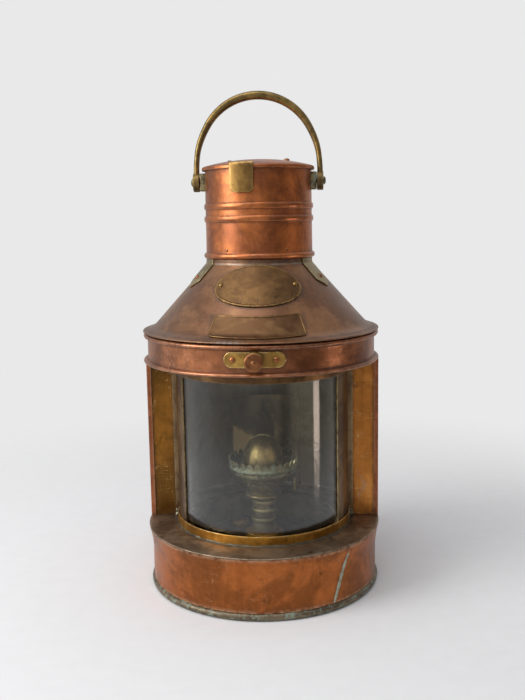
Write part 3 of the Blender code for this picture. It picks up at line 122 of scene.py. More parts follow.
# Band and latch; a bead is so far proud and so tall
BAND_FOOT, BAND_HEAD = levels("band")
BAND_RADIUS = 113.0
LOWER_BEAD = (4.4, 4.6)
UPPER_BEAD = (3.8, 5.4)
LATCH_HEIGHT = 243.3
LATCH_HALF = (27.8, 7.35)
LATCH_RIVET = (2.7, 1.6)
LATCH_RIVET_OUT = 19.5
BARREL = (8.0, 6.4, 114.8, 124.8)
BUTTON_FACE = 130.6
BUTTON_BACK = 128.2
BUTTON_RADIUS = 8.3
BUTTON_TIP = 112.6
STEM_HOLE = 2.4

# Hood
LIP_RADIUS = reach("hood_cone")
LIP_FOOT, NECK_HEAD = levels("hood_cone")
LIP_HEAD = LIP_FOOT + 2.0
BRIM_RADIUS = LIP_RADIUS - 2.3
CONE_FOOT_RADIUS = BRIM_RADIUS - 9.4
CONE_FOOT_HEIGHT = LIP_HEAD + 3.8
CONE_TOP_RADIUS = 51.5
CONE_TOP_HEIGHT = NECK_HEAD - 4.6
CONE_RUN = CONE_FOOT_RADIUS - CONE_TOP_RADIUS
CONE_RISE = CONE_TOP_HEIGHT - CONE_FOOT_HEIGHT
CONE_SLANT = sqrt(CONE_RUN ** 2 + CONE_RISE ** 2)
CONE_OUT = CONE_RISE / CONE_SLANT
CONE_UP = CONE_RUN / CONE_SLANT
PLATE_TURN = radians(1.2)
OVAL_HALF = np.array([41.5, 24.6])
OVAL_DOWN = 25.0
OVAL_RIVET_OUT = 35.8
OVAL_SPREAD = 28
NAME_HALF_TOP = 40.0
NAME_HALF_FOOT = 47.0
NAME_HEAD_DOWN = CONE_SLANT - 21.4
NAME_FOOT_DOWN = CONE_SLANT + 5.5
NAME_SAG = 3.4
STRAP_ANGLES = {"front_left": radians(-68), "front_right": radians(68), "rear": radians(180)}
STRAP_WIDTH = 23.4
STRAP_END = 30.0
STRAP_SQUARE = 21.5
STRAP_TIP = 2.9
STRAP_RIVET_DOWN = 18.0
STRAP_SOIL = (11.0, 27.5)
COLLAR_FOOT, COLLAR_HEAD = levels("collar")
COLLAR_RADII = (52.5, 51.8)
COLLAR_BEADS = (COLLAR_FOOT + 37.8, COLLAR_FOOT + 49.8)
COLLAR_BEAD = (1.4, 6.2)
COLLAR_FOOT_BEAD = (2.3, 5.5)

# Lid and bail
LID_RADIUS = reach("lid")
LID_RIM_FOOT, LID_HEAD = levels("lid")
LID_SHOULDER = LID_RIM_FOOT + 4.0
LID_SHOULDER_RADIUS = LID_RADIUS - 2.2
LID_RIM_INNER = 52.4
LID_TURN = radians(-13.5)
LID_RIVET_OUT = 29.0
TAB_WIDTH = 23.2
TAB_FOOT, TAB_HEAD = levels("lid_tab")
TAB_CORNER = 4.5
PIVOT_HEIGHT = 402.0
LUG_REACH = 57.1
LUG_HALF = (7.5, 8.6)
EYE_RADIUS = 9.2
EYE_HOLE = 2.6
EYE_ENDS = (57.4, 63.6)
ARCH_RADIUS = 56.5
ARCH_HEIGHT = PIVOT_HEIGHT + 25.5
LEG_OUT = 60.5

# Oil lamp
FONT_RADIUS = reach("oil_font")
FONT_FOOT = levels("oil_font")[0]
FONT_HEAD = levels("font_top")[1]
STEM_FOOT = 46.6
STEM_RADIUS = 10.8
SKIRT_FOOT = 83.1
BOWL_FOOT = 88.1
BOWL_RADIUS = 26
HOLE_COUNT = 24
HOLE_RINGS = ((101.2, 0.0), (105.2, 0.5))
HOLE_RADIUS = 1.5
BURNER_HEAD = 109.1
GALLERY_FOOT, GALLERY_HEAD = levels("gallery")
GALLERY_RADIUS = 35.0
TOOTH_COUNT = 28
DOME_RADIUS = 21.8
DOME_WALL = 0.9
DOME_FOOT, DOME_HEAD = levels("burner_dome")
WINDER_PLACE = (0.0, -4.2, 96.9)
WINDER_FACE = 33.5
REFLECTOR_CENTRE = 40.0
REFLECTOR_CURVE = 55.0


# Surfaces: every piece is one or more closed grids of points worked out as whole arrays
def unit(ways):
    return ways / np.linalg.norm(ways, axis=-1, keepdims=True)


def circle(count):
    """Even angles once round."""
    return np.arange(count) * 2 * pi / count


def near(value, middle, width, power=2):
    """A bell: 1 at its middle, falling as e to the minus (distance over width) to a power."""
    return np.exp(-((value - middle) / width) ** power)


def plan(x, y):
    """Angle and radius of a place, seen from above."""
    return np.arctan2(x, -y), np.hypot(x, y)


def lattice(points, round_rows=True, round_columns=True, caps=None):
    """A grid of points and its four-sided faces; a round direction joins its last line to its first."""
    index = np.arange(points[..., 0].size).reshape(points.shape[:2])
    grid = np.vstack([index, index[:1]]) if round_rows else index
    grid = np.hstack([grid, grid[:, :1]]) if round_columns else grid
    faces = np.stack([grid[:-1, :-1], grid[:-1, 1:], grid[1:, 1:], grid[1:, :-1]], -1).reshape(-1, 4).tolist()
    if caps:
        lines = index if caps == "rows" else index.T
        faces += [lines[0].tolist(), lines[-1].tolist()]
    return points.reshape(-1, 3), faces


def rounded(corners, radii, closed=True, steps=5):
    """An outline whose corners are curves: each starts and ends its radius away from the corner."""
    points = np.asarray(corners, float)
    ways = [np.roll(points, shift, 0) - points for shift in (1, -1)]
    lengths = [np.linalg.norm(way, axis=1, keepdims=True) + 1e-9 for way in ways]
    radii = np.broadcast_to(np.asarray(radii, float), len(points))[:, None]
    cut = np.minimum(radii, 0.45 * np.minimum(*lengths))
    start, stop = [points + way / length * cut for way, length in zip(ways, lengths)]
    t = np.linspace(0, 1, steps)[None, :, None]
    curve = (1 - t) ** 2 * start[:, None] + 2 * t * (1 - t) * points[:, None] + t ** 2 * stop[:, None]
    if not closed:
        curve[0] = points[0]
        curve[-1] = points[-1]
    return curve.reshape(-1, points.shape[1])


def spaced(outline, spacing, closed=True):
    """The outline with points added along its straight stretches, and doubled points left out."""
    points = np.vstack([outline, outline[:1]]) if closed else np.asarray(outline, float)
    lengths = np.linalg.norm(np.diff(points, axis=0), axis=1)
    points = np.vstack([points[:1], points[1:][lengths > 1e-4]])
    lengths = lengths[lengths > 1e-4]
    pieces = np.ceil(lengths / spacing).astype(int)
    which = np.repeat(np.arange(len(pieces)), pieces)
    along = (np.arange(pieces.sum()) - np.repeat(np.cumsum(pieces) - pieces, pieces)) / pieces[which]
    result = points[which] + (points[which + 1] - points[which]) * along[:, None]
    return result if closed else np.vstack([result, points[-1:]])


def oblong(left, low, right, high):
    return [(left, low), (right, low), (right, high), (left, high)]


def sheet_section(low, high, wall, corner, spacing):
    """The section of an upright sheet, as (inwards, height)."""
    return spaced(rounded([(0, low), (0, high), (wall, high), (wall, low)], corner), spacing)


def dents(amount, seed, slow=2, quick=9):
    """Unevenness of hand-worked sheet: the sum of eight slow waves round the axis and up the wall."""
    dice = np.random.default_rng(seed)
    waves = dice.integers(slow, quick, 8)[:, None, None]
    pitch = dice.uniform(45, 190, 8)[:, None, None]
    phase = dice.uniform(0, 2 * pi, 8)[:, None, None]
    share = dice.uniform(0.3, 1, 8)[:, None, None] / 4
    return lambda angle, height: amount * np.sum(
        share * np.sin(waves * angle + 2 * pi * height / pitch + phase), 0)


def around(radius, angle, height):
    """Points at a radius and angle round the lamp: x = r sin a, y = -r cos a."""
    radius, angle, height = np.broadcast_arrays(radius, angle, height)
    return np.stack([radius * np.sin(angle), -radius * np.cos(angle), height], -1)


def turned(profile, steps=TURN_STEPS, ends=None, solid=False, uneven=None):
    """A profile of (radius, height) carried round the axis; solid ones start and end on the axis."""
    angle = circle(steps) if ends is None else np.linspace(*ends, steps + 1)
    radius = profile[:, :1]
    height = profile[:, 1:]
    if uneven is not None:
        radius = radius + np.where(radius > 1, uneven(angle[None], height), 0)
    return lattice(around(radius, angle[None], height), not solid, ends is None, ends and "columns")


def ring(corners, radii, spacing, steps=TURN_STEPS, **how):
    """A turned ring from the corners of its section."""
    return turned(spaced(rounded(corners, radii), spacing), steps, **how)


def solid(corners, radii, spacing, steps, **how):
    """A turned solid from the corners of its profile, which starts and ends on the axis."""
    profile = spaced(rounded(corners, radii, closed=False), spacing, closed=False)
    return turned(profile, steps, solid=True, **how)


def inwards_of(path, closed):
    """Unit ways square to a path, to its left."""
    heading = np.roll(path, -1, 0) - np.roll(path, 1, 0) if closed else np.gradient(path, axis=0)
    return unit(heading)[:, ::-1] * (-1, 1)


def carried(section, path, closed=False, stretch=None):
    """A section of (inwards, height) carried along a path in plan, square to it."""
    across = path[None] + inwards_of(path, closed)[None] * section[:, None, :1]
    height = section[:, 1:] + np.zeros(len(path))
    if stretch is not None:
        middle = (section[:, 1].min() + section[:, 1].max()) / 2
        height = middle + (height - middle) * stretch
    points = np.concatenate([across, height[..., None]], -1)
    return lattice(points, True, closed, None if closed else "columns")


def plate(outline, edge, place, shares=(0.75, 0.5, 0.25, 0.0)):
    """A closed plate: rings set in from its outline at the edge's heights, then shrunk to its middle on both
    faces. The edge is a list of (inset, height) from the back round to the front."""
    edge = np.asarray(edge, float)
    rings = outline[None] + inwards_of(outline, True)[None] * edge[:, :1, None]
    middle = outline.mean(0)
    shares = np.asarray(shares)[:, None, None]
    front = middle + shares * (rings[-1] - middle)
    back = middle + shares[::-1] * (rings[0] - middle)
    flat = np.concatenate([back, rings, front])
    height = np.concatenate([np.full(len(back), edge[0, 1]), edge[:, 1], np.full(len(front), edge[-1, 1])])
    points = place(flat[..., 0], flat[..., 1], height[:, None] + np.zeros(flat.shape[:2]))
    return lattice(points, False, True)


def ribbon(path, widths, thickness, place, corner, columns=9):
    """A flat strip: an oblong section with round corners, as wide as each station asks."""
    turn = np.linspace(0, pi / 2, 4)
    flat = np.linspace(-1, 1, columns)
    side = np.concatenate([flat, np.ones(8), flat[::-1], -np.ones(8)])
    bulge = corner * np.concatenate([np.sin(turn), np.sin(turn[::-1])])
    past = np.concatenate([0 * flat, bulge, 0 * flat, -bulge])
    rise = corner * (1 - np.cos(turn))
    top = thickness - rise
    height = np.concatenate([0 * flat + thickness, top, rise[::-1], 0 * flat, rise, top[::-1]])
    across = side * (np.asarray(widths)[:, None] / 2 - corner) + past
    points = place(across, np.asarray(path)[:, None] + 0 * across, height + 0 * across)
    return lattice(points, False, True, "rows")


def aimed(shape, place, outward):
    """A shape turned so that its own height points outward from a place."""
    points, faces = shape
    turn = np.array(Vector(outward).to_track_quat("Z", "Y").to_matrix())
    return points @ turn.T + np.array(place), faces


def rivet_head(size, seat, outward):
    """A round head of a radius and a height: it falls as the root of what is left of the radius squared."""
    radius, height = size
    out = np.sin(np.linspace(0, pi / 2, 9))
    profile = np.stack([radius * out, height * (0.12 + 0.88 * np.sqrt(1 - out ** 2))], 1)
    profile = np.vstack([profile, [(radius, 0), (0, 0)]])
    return aimed(turned(profile, 32, solid=True), seat, outward)


def on_cone(down, lift=0.0):
    """Radius and height of a place a distance down the cone's slope and a lift off it."""
    radius = CONE_TOP_RADIUS + down * CONE_UP + lift * CONE_OUT
    return radius, CONE_TOP_HEIGHT - down * CONE_OUT + lift * CONE_UP


def over_profile(path, angle, fixed=None):
    """Lays a strip over a profile of (radius, height): along is the way down it, height goes off its face."""
    way = np.concatenate([[0], np.cumsum(np.linalg.norm(np.diff(path, axis=0), axis=1))])
    heading = unit(np.gradient(path, way, axis=0))

    def place(across, along, height):
        seat = np.interp(along, way, path[:, 0])
        radius = seat - np.interp(along, way, heading[:, 1]) * height
        level = np.interp(along, way, path[:, 1]) + np.interp(along, way, heading[:, 0]) * height
        return around(radius, angle + across / (seat if fixed is None else fixed), level)

    return way, place


def half_round(wall, bead, middle, count=13):
    """A bead on a wall: half an ellipse, from its foot to its head."""
    turn = np.linspace(-pi / 2, pi / 2, count)
    return np.stack([wall + bead[0] * np.cos(turn), middle + bead[1] / 2 * np.sin(turn)], 1)


def outside_box(across, half, along, low, high):
    """How far a place lies outside an oblong."""
    side = np.maximum(np.abs(across) - half, 0)
    return np.hypot(side, np.maximum(np.maximum(low - along, along - high), 0))


# Pieces
def read(items, name, width, kind=float):
    """One measure of all points or edges of a mesh, a row for each."""
    values = np.empty(len(items) * width, kind)
    items.foreach_get(name, values)
    return values.reshape(-1, width)


def bending(mesh, place, normal):
    """How far each point stands out of its neighbours, or, below nought, lies in between them."""
    count = len(place)
    ends = read(mesh.edges, "vertices", 2, int)
    a, b = ends.T
    step = place[b] - place[a]
    step /= np.linalg.norm(step, axis=1, keepdims=True) + 1e-12
    degree = np.bincount(ends.ravel(), minlength=count) + 1e-9

    def gathered(for_a, for_b):
        return (np.bincount(a, for_a, count) + np.bincount(b, for_b, count)) / degree

    bend = gathered(-(normal[a] * step).sum(1), (normal[b] * step).sum(1))
    for _ in range(2):
        bend = 0.5 * bend + 0.5 * gathered(bend[b], bend[a])
    return bend


def dress_mesh(mesh, dirt, solder):
    """The weathering of a mesh, each from 0 to 1: edge, crease, inner, dirt and solder; on some pieces the
    dirt layer holds painted shade, and on the reflector the solder layer holds a painted reflection.
    """
    place = read(mesh.vertices, "co", 3)
    normal = read(mesh.vertices, "normal", 3)
    bend = bending(mesh, place, normal)
    x, y, z = place.T / MM
    inwards = -(x * normal[:, 0] + y * normal[:, 1]) / (np.hypot(x, y) + 1e-6)
    weathering = {"edge": bend * 7 - 0.12, "crease": -bend * 7 - 0.12, "inner": inwards * 5 - 3.4}
    weathering["dirt"] = dirt(x, y, z) if dirt else 0 * x
    weathering["solder"] = solder(x, y, z) if solder else 0 * x
    for name, values in weathering.items():
        layer = mesh.attributes.new(name, "FLOAT", "POINT")
        layer.data.foreach_set("value", np.ascontiguousarray(np.clip(values, 0, 1), np.float32))


def linked(name, data):
    """A new object in the scene."""
    made = bpy.data.objects.new(name, data)
    bpy.context.scene.collection.objects.link(made)
    return made


def with_stem_hole(mesh, near_end, far_end):
    """Cuts the hole of the button's stem through a mesh, between two distances in front of the axis."""
    middle = Matrix.Translation((0, -(near_end + far_end) / 2 * MM, LATCH_HEIGHT * MM))
    drill = bpy.data.meshes.new("drill")
    bm = bmesh.new()
    bmesh.ops.create_cone(bm, cap_ends=True, segments=40, radius1=STEM_HOLE * MM, radius2=STEM_HOLE * MM,
                          depth=(far_end - near_end) * MM, matrix=middle @ Matrix.Rotation(pi / 2, 4, "X"))
    bm.to_mesh(drill)
    bm.free()
    sheet, tool = [linked(m.name, m) for m in (mesh, drill)]
    cut = sheet.modifiers.new("stem hole", "BOOLEAN")
    cut.object = tool
    cut.operation = "DIFFERENCE"
    cut.solver = "EXACT"
    result = bpy.data.meshes.new_from_object(sheet.evaluated_get(bpy.context.evaluated_depsgraph_get()))
    for thing in (sheet, tool):
        bpy.data.objects.remove(thing)
    return result


def welded(mesh, bevel=0):
    """Joins doubled points, rounds corners if asked to, and turns the faces outwards."""
    bm = bmesh.new()
    bm.from_mesh(mesh)
    bmesh.ops.remove_doubles(bm, verts=bm.verts, dist=WELD)
    bmesh.ops.dissolve_degenerate(bm, dist=WELD, edges=bm.edges)
    if bevel:
        bmesh.ops.dissolve_limit(bm, angle_limit=radians(2), verts=bm.verts, edges=bm.edges)
        corners = [e for e in bm.edges if len(e.link_faces) == 2 and e.calc_face_angle(0) > radians(32)]
        bmesh.ops.bevel(bm, geom=corners, offset=bevel * MM, segments=2, profile=0.5, clamp_overlap=True)
    bmesh.ops.recalc_face_normals(bm, faces=bm.faces)
    bm.to_mesh(mesh)
    bm.free()


def finished(name, mesh, body, finish, nodes, like=None, dirt=None, solder=None, sharp=40, bevel=0):
    """Makes a mesh a piece of the lamp; it rides on a body and stands for CAD nodes."""
    welded(mesh, bevel)
    mesh.polygons.foreach_set("use_smooth", np.ones(len(mesh.polygons), bool))
    mesh.set_sharp_from_angle(angle=radians(sharp))
    dress_mesh(mesh, dirt, solder)
    made = linked(name, mesh)
    made.data.materials.append(finish)
    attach(made, body)
    like or nodes[0]
    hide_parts(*nodes)
    return made


def piece(name, body, finish, nodes, *shapes, hole=None, **rules):
    """One piece from closed grids."""
    points = np.concatenate([shape[0] for shape in shapes]) * MM
    faces = []
    count = 0
    for shape_points, shape_faces in shapes:
        faces += [[corner + count for corner in face] for face in shape_faces]
        count += len(shape_points)
    mesh = bpy.data.meshes.new(name)
    mesh.from_pydata(points.tolist(), [], faces)
    if hole:
        mesh = with_stem_hole(mesh, *hole)
    return finished(name, mesh, body, finish, nodes, **rules)


def rivet(name, body, finish, size, seat, outward):
    piece(name + "_head", body, finish, [name], rivet_head(size, seat, outward))


# Shader nodes
def tint(code):
    """A colour written as six hexadecimal digits, as Blender's linear values."""
    share = np.array([int(code[i:i + 2], 16) for i in (0, 2, 4)]) / 255
    linear = np.where(share <= 0.04045, share / 12.92, ((share + 0.055) / 1.055) ** 2.4)
    return (*linear.tolist(), 1.0)


def feed(made, inputs):
    """Sets a node's inputs to constants, or joins them to values."""
    for key, value in inputs.items():
        if isinstance(value, Value):
            made.id_data.links.new(value.socket, made.inputs[key])
        else:
            made.inputs[key].default_value = value


def add(tree, kind, inputs=None, output=0, **settings):
    """A new shader node with its settings and inputs; gives one of its outputs as a value."""
    made = tree.nodes.new("ShaderNode" + kind)
    for key, value in settings.items():
        setattr(made, key, value)
    feed(made, inputs or {})
    return Value(made.outputs[output])


class Value:
    """An output of a shader node. Arithmetic on it, and its methods, add nodes to its tree."""

    def __init__(self, socket):
        self.socket = socket

    def then(self, kind, inputs, output=0, **settings):
        return add(self.socket.id_data, kind, inputs, output, **settings)

    def maths(self, operation, first, second=0.0):
        return self.then("Math", {0: first, 1: second}, operation=operation)

    def __add__(self, other):
        return self.maths("ADD", self, other)

    def __radd__(self, other):
        return self.maths("ADD", other, self)

    def __mul__(self, other):
        return self.maths("MULTIPLY", self, other)

    def __sub__(self, other):
        return self.maths("SUBTRACT", self, other)

    def __rsub__(self, other):
        return self.maths("SUBTRACT", other, self)

    def __abs__(self):
        return self.maths("ABSOLUTE", self)

    def kept(self):
        """The same value, kept from 0 to 1."""
        self.socket.node.use_clamp = True
        return self

    def other(self, output):
        """Another output of the same node."""
        return Value(self.socket.node.outputs[output])

    def eased(self, low, high, out_low=0.0, out_high=1.0):
        """A value eased from one range into another."""
        inputs = {"Value": self, "From Min": low, "From Max": high, "To Min": out_low, "To Max": out_high}
        return self.then("MapRange", inputs, interpolation_type="SMOOTHSTEP")

    def mix(self, first, second):
        """From one colour to another, by this share."""
        return self.then("Mix", {0: self, 6: first, 7: second}, 2, data_type="RGBA")

    def noise(self, scale, detail, rough, twist=0.0):
        inputs = {"Vector": self, "Scale": scale, "Detail": detail, "Roughness": rough, "Distortion": twist}
        return self.then("TexNoise", inputs)

    def mapped(self, scale=(1, 1, 1), turn=(0, 0, 0), shift=(0, 0, 0)):
        return self.then("Mapping", {"Vector": self, "Scale": scale, "Rotation": turn, "Location": shift})

    def shifted(self, shift):
        return self.then("VectorMath", {0: self, 1: shift}, operation="ADD")

    def bump(self, strength, distance):
        """Normals from this height."""
        return self.then("Bump", {"Strength": strength, "Distance": distance, "Height": self})


def place_in(tree):
    return add(tree, "TexCoord", output="Object")


def attribute(tree, name):
    return add(tree, "Attribute", output="Fac", attribute_name=name)


def new_group(name, inputs, outputs):
    """An empty shader node group with named sockets by kind: itself, its given values and its output node."""
    group = bpy.data.node_groups.new(name, "ShaderNodeTree")
    for direction, sockets in (("INPUT", inputs), ("OUTPUT", outputs)):
        for kind, labels in sockets.items():
            for label in labels.split(", "):
                group.interface.new_socket(label, in_out=direction, socket_type="NodeSocket" + kind)
    given = {socket.name: Value(socket) for socket in group.nodes.new("NodeGroupInput").outputs}
    return group, given, group.nodes.new("NodeGroupOutput")


def worked_metal_group():
    """Old sheet metal: patches of tarnish, mottling, runs, specks, dirt in its corners and worn edges; where
    the dirt layer holds painted shade, that is darkened the same way.
    """
    tree, given, result = new_group("worked metal", {
        "Color": "Fresh, Tarnish, Dark, Worn",
        "Float": "Patch Size, Patch Share, Dark Share, Runs, Specks, Wear, Dirt, Smooth, Rough, Unevenness",
        "Vector": "Shift",
    }, {"Color": "Color", "Float": "Roughness, Metallic", "Vector": "Normal"})
    place = place_in(tree).shifted(given["Shift"])
    elsewhere = place.mapped(shift=(3.1, 1.7, 5.3))
    size = given["Patch Size"]
    mottle = place.noise(size * 6.0, 8, 0.68)
    level = 0.66 - given["Patch Share"] * 0.34
    patch = place.noise(size, 5, 0.62, 0.5).eased(level - 0.07, level + 0.07)
    dark_level = 0.70 - given["Dark Share"] * 0.30
    dark = elsewhere.noise(size * 1.7, 7, 0.66, 0.8).eased(dark_level, dark_level + 0.14)

    colour = patch.mix(given["Fresh"], given["Tarnish"])
    colour = (dark * 0.85).mix(colour, given["Dark"])
    lighter = mottle.eased(0.30, 0.72, 0.84, 1.16)
    colour = colour.then("VectorMath", {0: colour, "Scale": lighter}, operation="SCALE")
    runs = place.mapped((1, 1, 0.07)).noise(150, 5, 0.6).eased(0.50, 0.72) * given["Runs"]
    specks = place.noise(620, 2, 0.5).eased(0.62, 0.70) * given["Specks"]
    patchy = elsewhere.noise(95, 6, 0.7).eased(0.30, 0.62, 0.35, 1.0)
    # The dirt layer is partly painted shade: under the lid's rim, on the hood's neck, in the dome's slot and
    # in the burner's air holes.
    soil = ((attribute(tree, "dirt") + attribute(tree, "crease") * 0.8) * patchy * given["Dirt"]).kept()
    for mask in (runs, specks, soil):
        colour = mask.mix(colour, given["Dark"])
    rubbed = place.noise(160, 5, 0.7).eased(0.36, 0.60)
    worn = (attribute(tree, "edge") * rubbed * given["Wear"]).kept()

    share = mottle.eased(0.30, 0.70, 0, 0.7) + dark * 0.3
    rough = given["Smooth"] + (given["Rough"] - given["Smooth"]) * share + (soil + specks) * 0.22
    height = place.noise(38, 3, 0.5) * 1.4 + place.noise(1100, 3, 0.6) * 0.10 + mottle * 0.22
    feed(result, {
        "Color": worn.mix(colour, given["Worn"]),
        "Roughness": (rough - worn * 0.10).kept(),
        "Metallic": (1.0 - soil * 0.55).kept(),
        "Normal": (height - specks * 0.15).bump(given["Unevenness"], 0.0011),
    })
    return tree


def scratch_group():
    """Thin wandering lines where a drawn-out noise passes its middle value, in patches."""
    inputs = {"Vector": "Turn, Stretch", "Float": "Size, Width"}
    tree, given, result = new_group("scratches", inputs, {"Float": "Mask"})
    place = place_in(tree)
    lines = place.mapped(given["Stretch"], given["Turn"]).noise(given["Size"], 2, 0.5)
    line = abs(lines - 0.5).eased(0.0, given["Width"], 1.0, 0.0)
    feed(result, {"Mask": line * place.noise(42, 4, 0.6).eased(0.44, 0.60)})
    return tree


def crust_group():
    """Verdigris and spent flux: a crust in corners and in loose patches."""
    tree, given, result = new_group("crust", {"Float": "Amount, Size", "Vector": "Shift"}, {"Float": "Mask"})
    loose = place_in(tree).shifted(given["Shift"]).noise(given["Size"], 9, 0.72, 0.3)
    corner = (attribute(tree, "crease") + attribute(tree, "dirt")) * 0.10
    level = 0.72 - given["Amount"] * 0.26
    feed(result, {"Mask": (loose + corner).eased(level, level + 0.07)})
    return tree


GROUPS = {"metal": worked_metal_group(), "scratches": scratch_group(), "crust": crust_group()}


# Finishes
VERDIGRIS = tint("7f8a7a")
TINNED = tint("8c8374")
TINNED_DARK = tint("585046")
SCRATCHES = (
    {"Turn": (0.3, 0.5, 0.2), "Stretch": (1, 1, 7), "Size": 26.0, "Width": 0.006},
    {"Turn": (0.9, 0.2, 1.1), "Stretch": (6, 1, 1), "Size": 26.0, "Width": 0.006},
)


def empty_material(name):
    """A material of one shader: itself, its node tree and the shader."""
    material = bpy.data.materials.new(name)
    material.use_nodes = True
    tree = material.node_tree
    tree.nodes.clear()
    shader = add(tree, "BsdfPrincipled")
    feed(tree.nodes.new("ShaderNodeOutputMaterial"), {0: shader})
    return material, tree, shader


def see_through(shader, share, colour=(1, 1, 1, 1)):
    """Lets a share of the light straight through a material."""
    output = shader.socket.links[0].to_node
    clear = shader.then("BsdfTransparent", {"Color": colour})
    feed(output, {0: shader.then("MixShader", {0: share, 1: shader, 2: clear})})


def old_metal(name, colours, look, specks=0.3, wear=0.6, uneven=0.25, scratches=0.0, crust=0.0, grain=70.0,
              tinned=False, shift=(0, 0, 0), metal=0.88, joint="918c80", film=0.0):
    """A weathered metal with scratches, crust and an old lacquer film; tinned sheet is grey inside.
    Its colours are fresh, tarnished, dark and worn. Its look is the size of its patches, the shares of
    tarnish and of dark, the runs, and how smooth and how rough it is."""
    material, tree, shader = empty_material(name)
    inputs = dict(zip(("Fresh", "Tarnish", "Dark", "Worn"), map(tint, colours.split())))
    inputs.update(zip(("Patch Size", "Patch Share", "Dark Share", "Runs", "Smooth", "Rough"), look))
    inputs.update({"Specks": specks, "Wear": wear, "Dirt": 0.7, "Unevenness": uneven, "Shift": shift})
    sheet = add(tree, "Group", inputs, node_tree=GROUPS["metal"])
    colour = sheet
    roughness = sheet.other("Roughness")
    metallic = sheet.other("Metallic") * metal
    if scratches:
        for lines in SCRATCHES:
            mask = add(tree, "Group", lines, node_tree=GROUPS["scratches"])
            colour = (mask * scratches).mix(colour, inputs["Worn"])
    if tinned:
        inner = attribute(tree, "inner")
        stain = place_in(tree).noise(14, 6, 0.65, 0.6).eased(0.36, 0.62)
        colour = inner.mix(colour, stain.mix(TINNED_DARK, TINNED))
        roughness = roughness + inner * 0.12
        metallic = metallic * (1.0 - inner * 0.6)
    if crust:
        inputs = {"Amount": crust, "Size": grain, "Shift": shift}
        loose = add(tree, "Group", inputs, node_tree=GROUPS["crust"])
        colour = loose.mix(colour, VERDIGRIS)
        roughness = (roughness + loose * 0.3).kept()
        metallic = metallic * (1.0 - loose * 0.8)
    # The solder layer turns joints to the joint colour; on the reflector it paints a reflection in a pale
    # joint colour.
    solder_and_painted_reflection = attribute(tree, "solder")
    feed(shader.socket.node, {
        "Base Color": solder_and_painted_reflection.mix(colour, tint(joint)), "Roughness": roughness,
        "Metallic": metallic * (1.0 - solder_and_painted_reflection * 0.75), "Normal": sheet.other("Normal"),
        "Coat Weight": film, "Coat Roughness": 0.28,
    })
    return material


def clear_glass():
    """Old clear glass with a film of dust; light passes it without a dark shadow."""
    material, tree, shader = empty_material("old clear glass")
    place = place_in(tree)
    dust = place.noise(18, 7, 0.7, 0.4).eased(0.42, 0.70)
    streak = place.mapped((1, 1, 0.12)).noise(70, 4, 0.6).eased(0.45, 0.75)
    film = (dust + streak) * 0.5
    feed(shader.socket.node, {
        "Base Color": film.mix(tint("f7faf6"), tint("dfe2dc")), "Roughness": 0.015 + film * 0.07,
        "Transmission Weight": 1.0, "IOR": 1.5, "Metallic": 0.0,
    })
    see_through(shader, add(tree, "LightPath", output="Is Shadow Ray"), (0.93, 0.95, 0.93, 1))
    return material


def wick_cotton():
    """Woven cotton: ribs up the wick and threads across it, charred at its top."""
    material, tree, shader = empty_material("woven cotton")
    place = place_in(tree)
    ribs, threads = [
        place.then("TexWave", {"Vector": place, "Scale": scale, "Distortion": 0.6}, 1, bands_direction=way)
        for way, scale in (("X", 260.0), ("Z", 330.0))
    ]
    weave = ribs * threads
    char = place.then("SeparateXYZ", {0: place}, 2).eased(0.139, 0.144)
    cloth = weave.mix(tint("a99d82"), tint("d2c7aa"))
    feed(shader.socket.node, {
        "Base Color": char.mix(cloth, tint("2a2622")), "Roughness": weave.eased(0, 1, 0.95, 0.8),
        "Normal": weave.bump(0.5, 0.0003), "Sheen Weight": 0.3,
    })
    return material


COPPER = old_metal("old copper sheet", "ba6c38 985630 482a1a cf9a74", (20, 0.45, 0.18, 0.12, 0.28, 0.46),
                   specks=0.2, scratches=0.3, tinned=True, film=0.25)
SHELL_COPPER = old_metal("dark copper sheet", "9a5c3c 7e4a30 402619 b98662", (16, 0.45, 0.22, 0.2, 0.30, 0.5),
                         scratches=0.3, tinned=True, shift=(2, 1, 0.4))
DRUM_COPPER = old_metal("stained copper sheet", "ab6230 894f26 482a17 d8a880",
                        (18, 0.5, 0.34, 0.2, 0.28, 0.48), specks=0.2, scratches=0.3, tinned=True,
                        shift=(0.4, 0.2, 0.7))
BAND_COPPER = old_metal("band copper", "a26642 804e30 42281c d8a98a", (18, 0.4, 0.3, 0.1, 0.28, 0.46),
                        specks=0.2, wear=0.35, scratches=0.6, tinned=True, shift=(1.1, 0.3, 0), film=0.2)
CONE_COPPER = old_metal("browned copper sheet", "946a48 7a5439 38241a b98a66",
                        (15, 0.5, 0.34, 0.15, 0.32, 0.5), scratches=0.3, tinned=True,
                        shift=(0.6, 2.2, 0.1), film=0.3)
LEDGE_COPPER = old_metal("dull deck copper", "95806a 766350 372a20 c9b39a", (30, 0.5, 0.4, 0, 0.4, 0.62),
                         specks=0.5, wear=0.9, crust=0.22, shift=(2, 0, 1))
WIRED_EDGE = old_metal("wired copper edge", "746450 5a4e3e 2d251c a59a84", (32, 0.5, 0.4, 0, 0.36, 0.6),
                       crust=0.78, grain=210.0, shift=(0.3, 3, 0))
RIVET_COPPER = old_metal("copper rivets", "a8683e 86522e 3c241a cfa07c", (60, 0.4, 0.3, 0.2, 0.26, 0.42))
BURNT_COPPER = old_metal("burnt copper", "98643e 764a2e 33201a b08058", (50, 0.4, 0.3, 0.2, 0.30, 0.46))
PANEL_BRASS = old_metal("browned brass sheet", "966426 6e4a1c 3a2712 cfa66a",
                        (12, 0.5, 0.36, 0.25, 0.28, 0.46), specks=0.35, scratches=0.7, shift=(1, 1, 0.35))
BRIGHT_PANEL = old_metal("orange brass sheet", "d08a44 ae6e30 402812 d8b078",
                         (12, 0.45, 0.3, 0.3, 0.28, 0.46), specks=0.35, scratches=0.9, shift=(1, 3, 1.35))
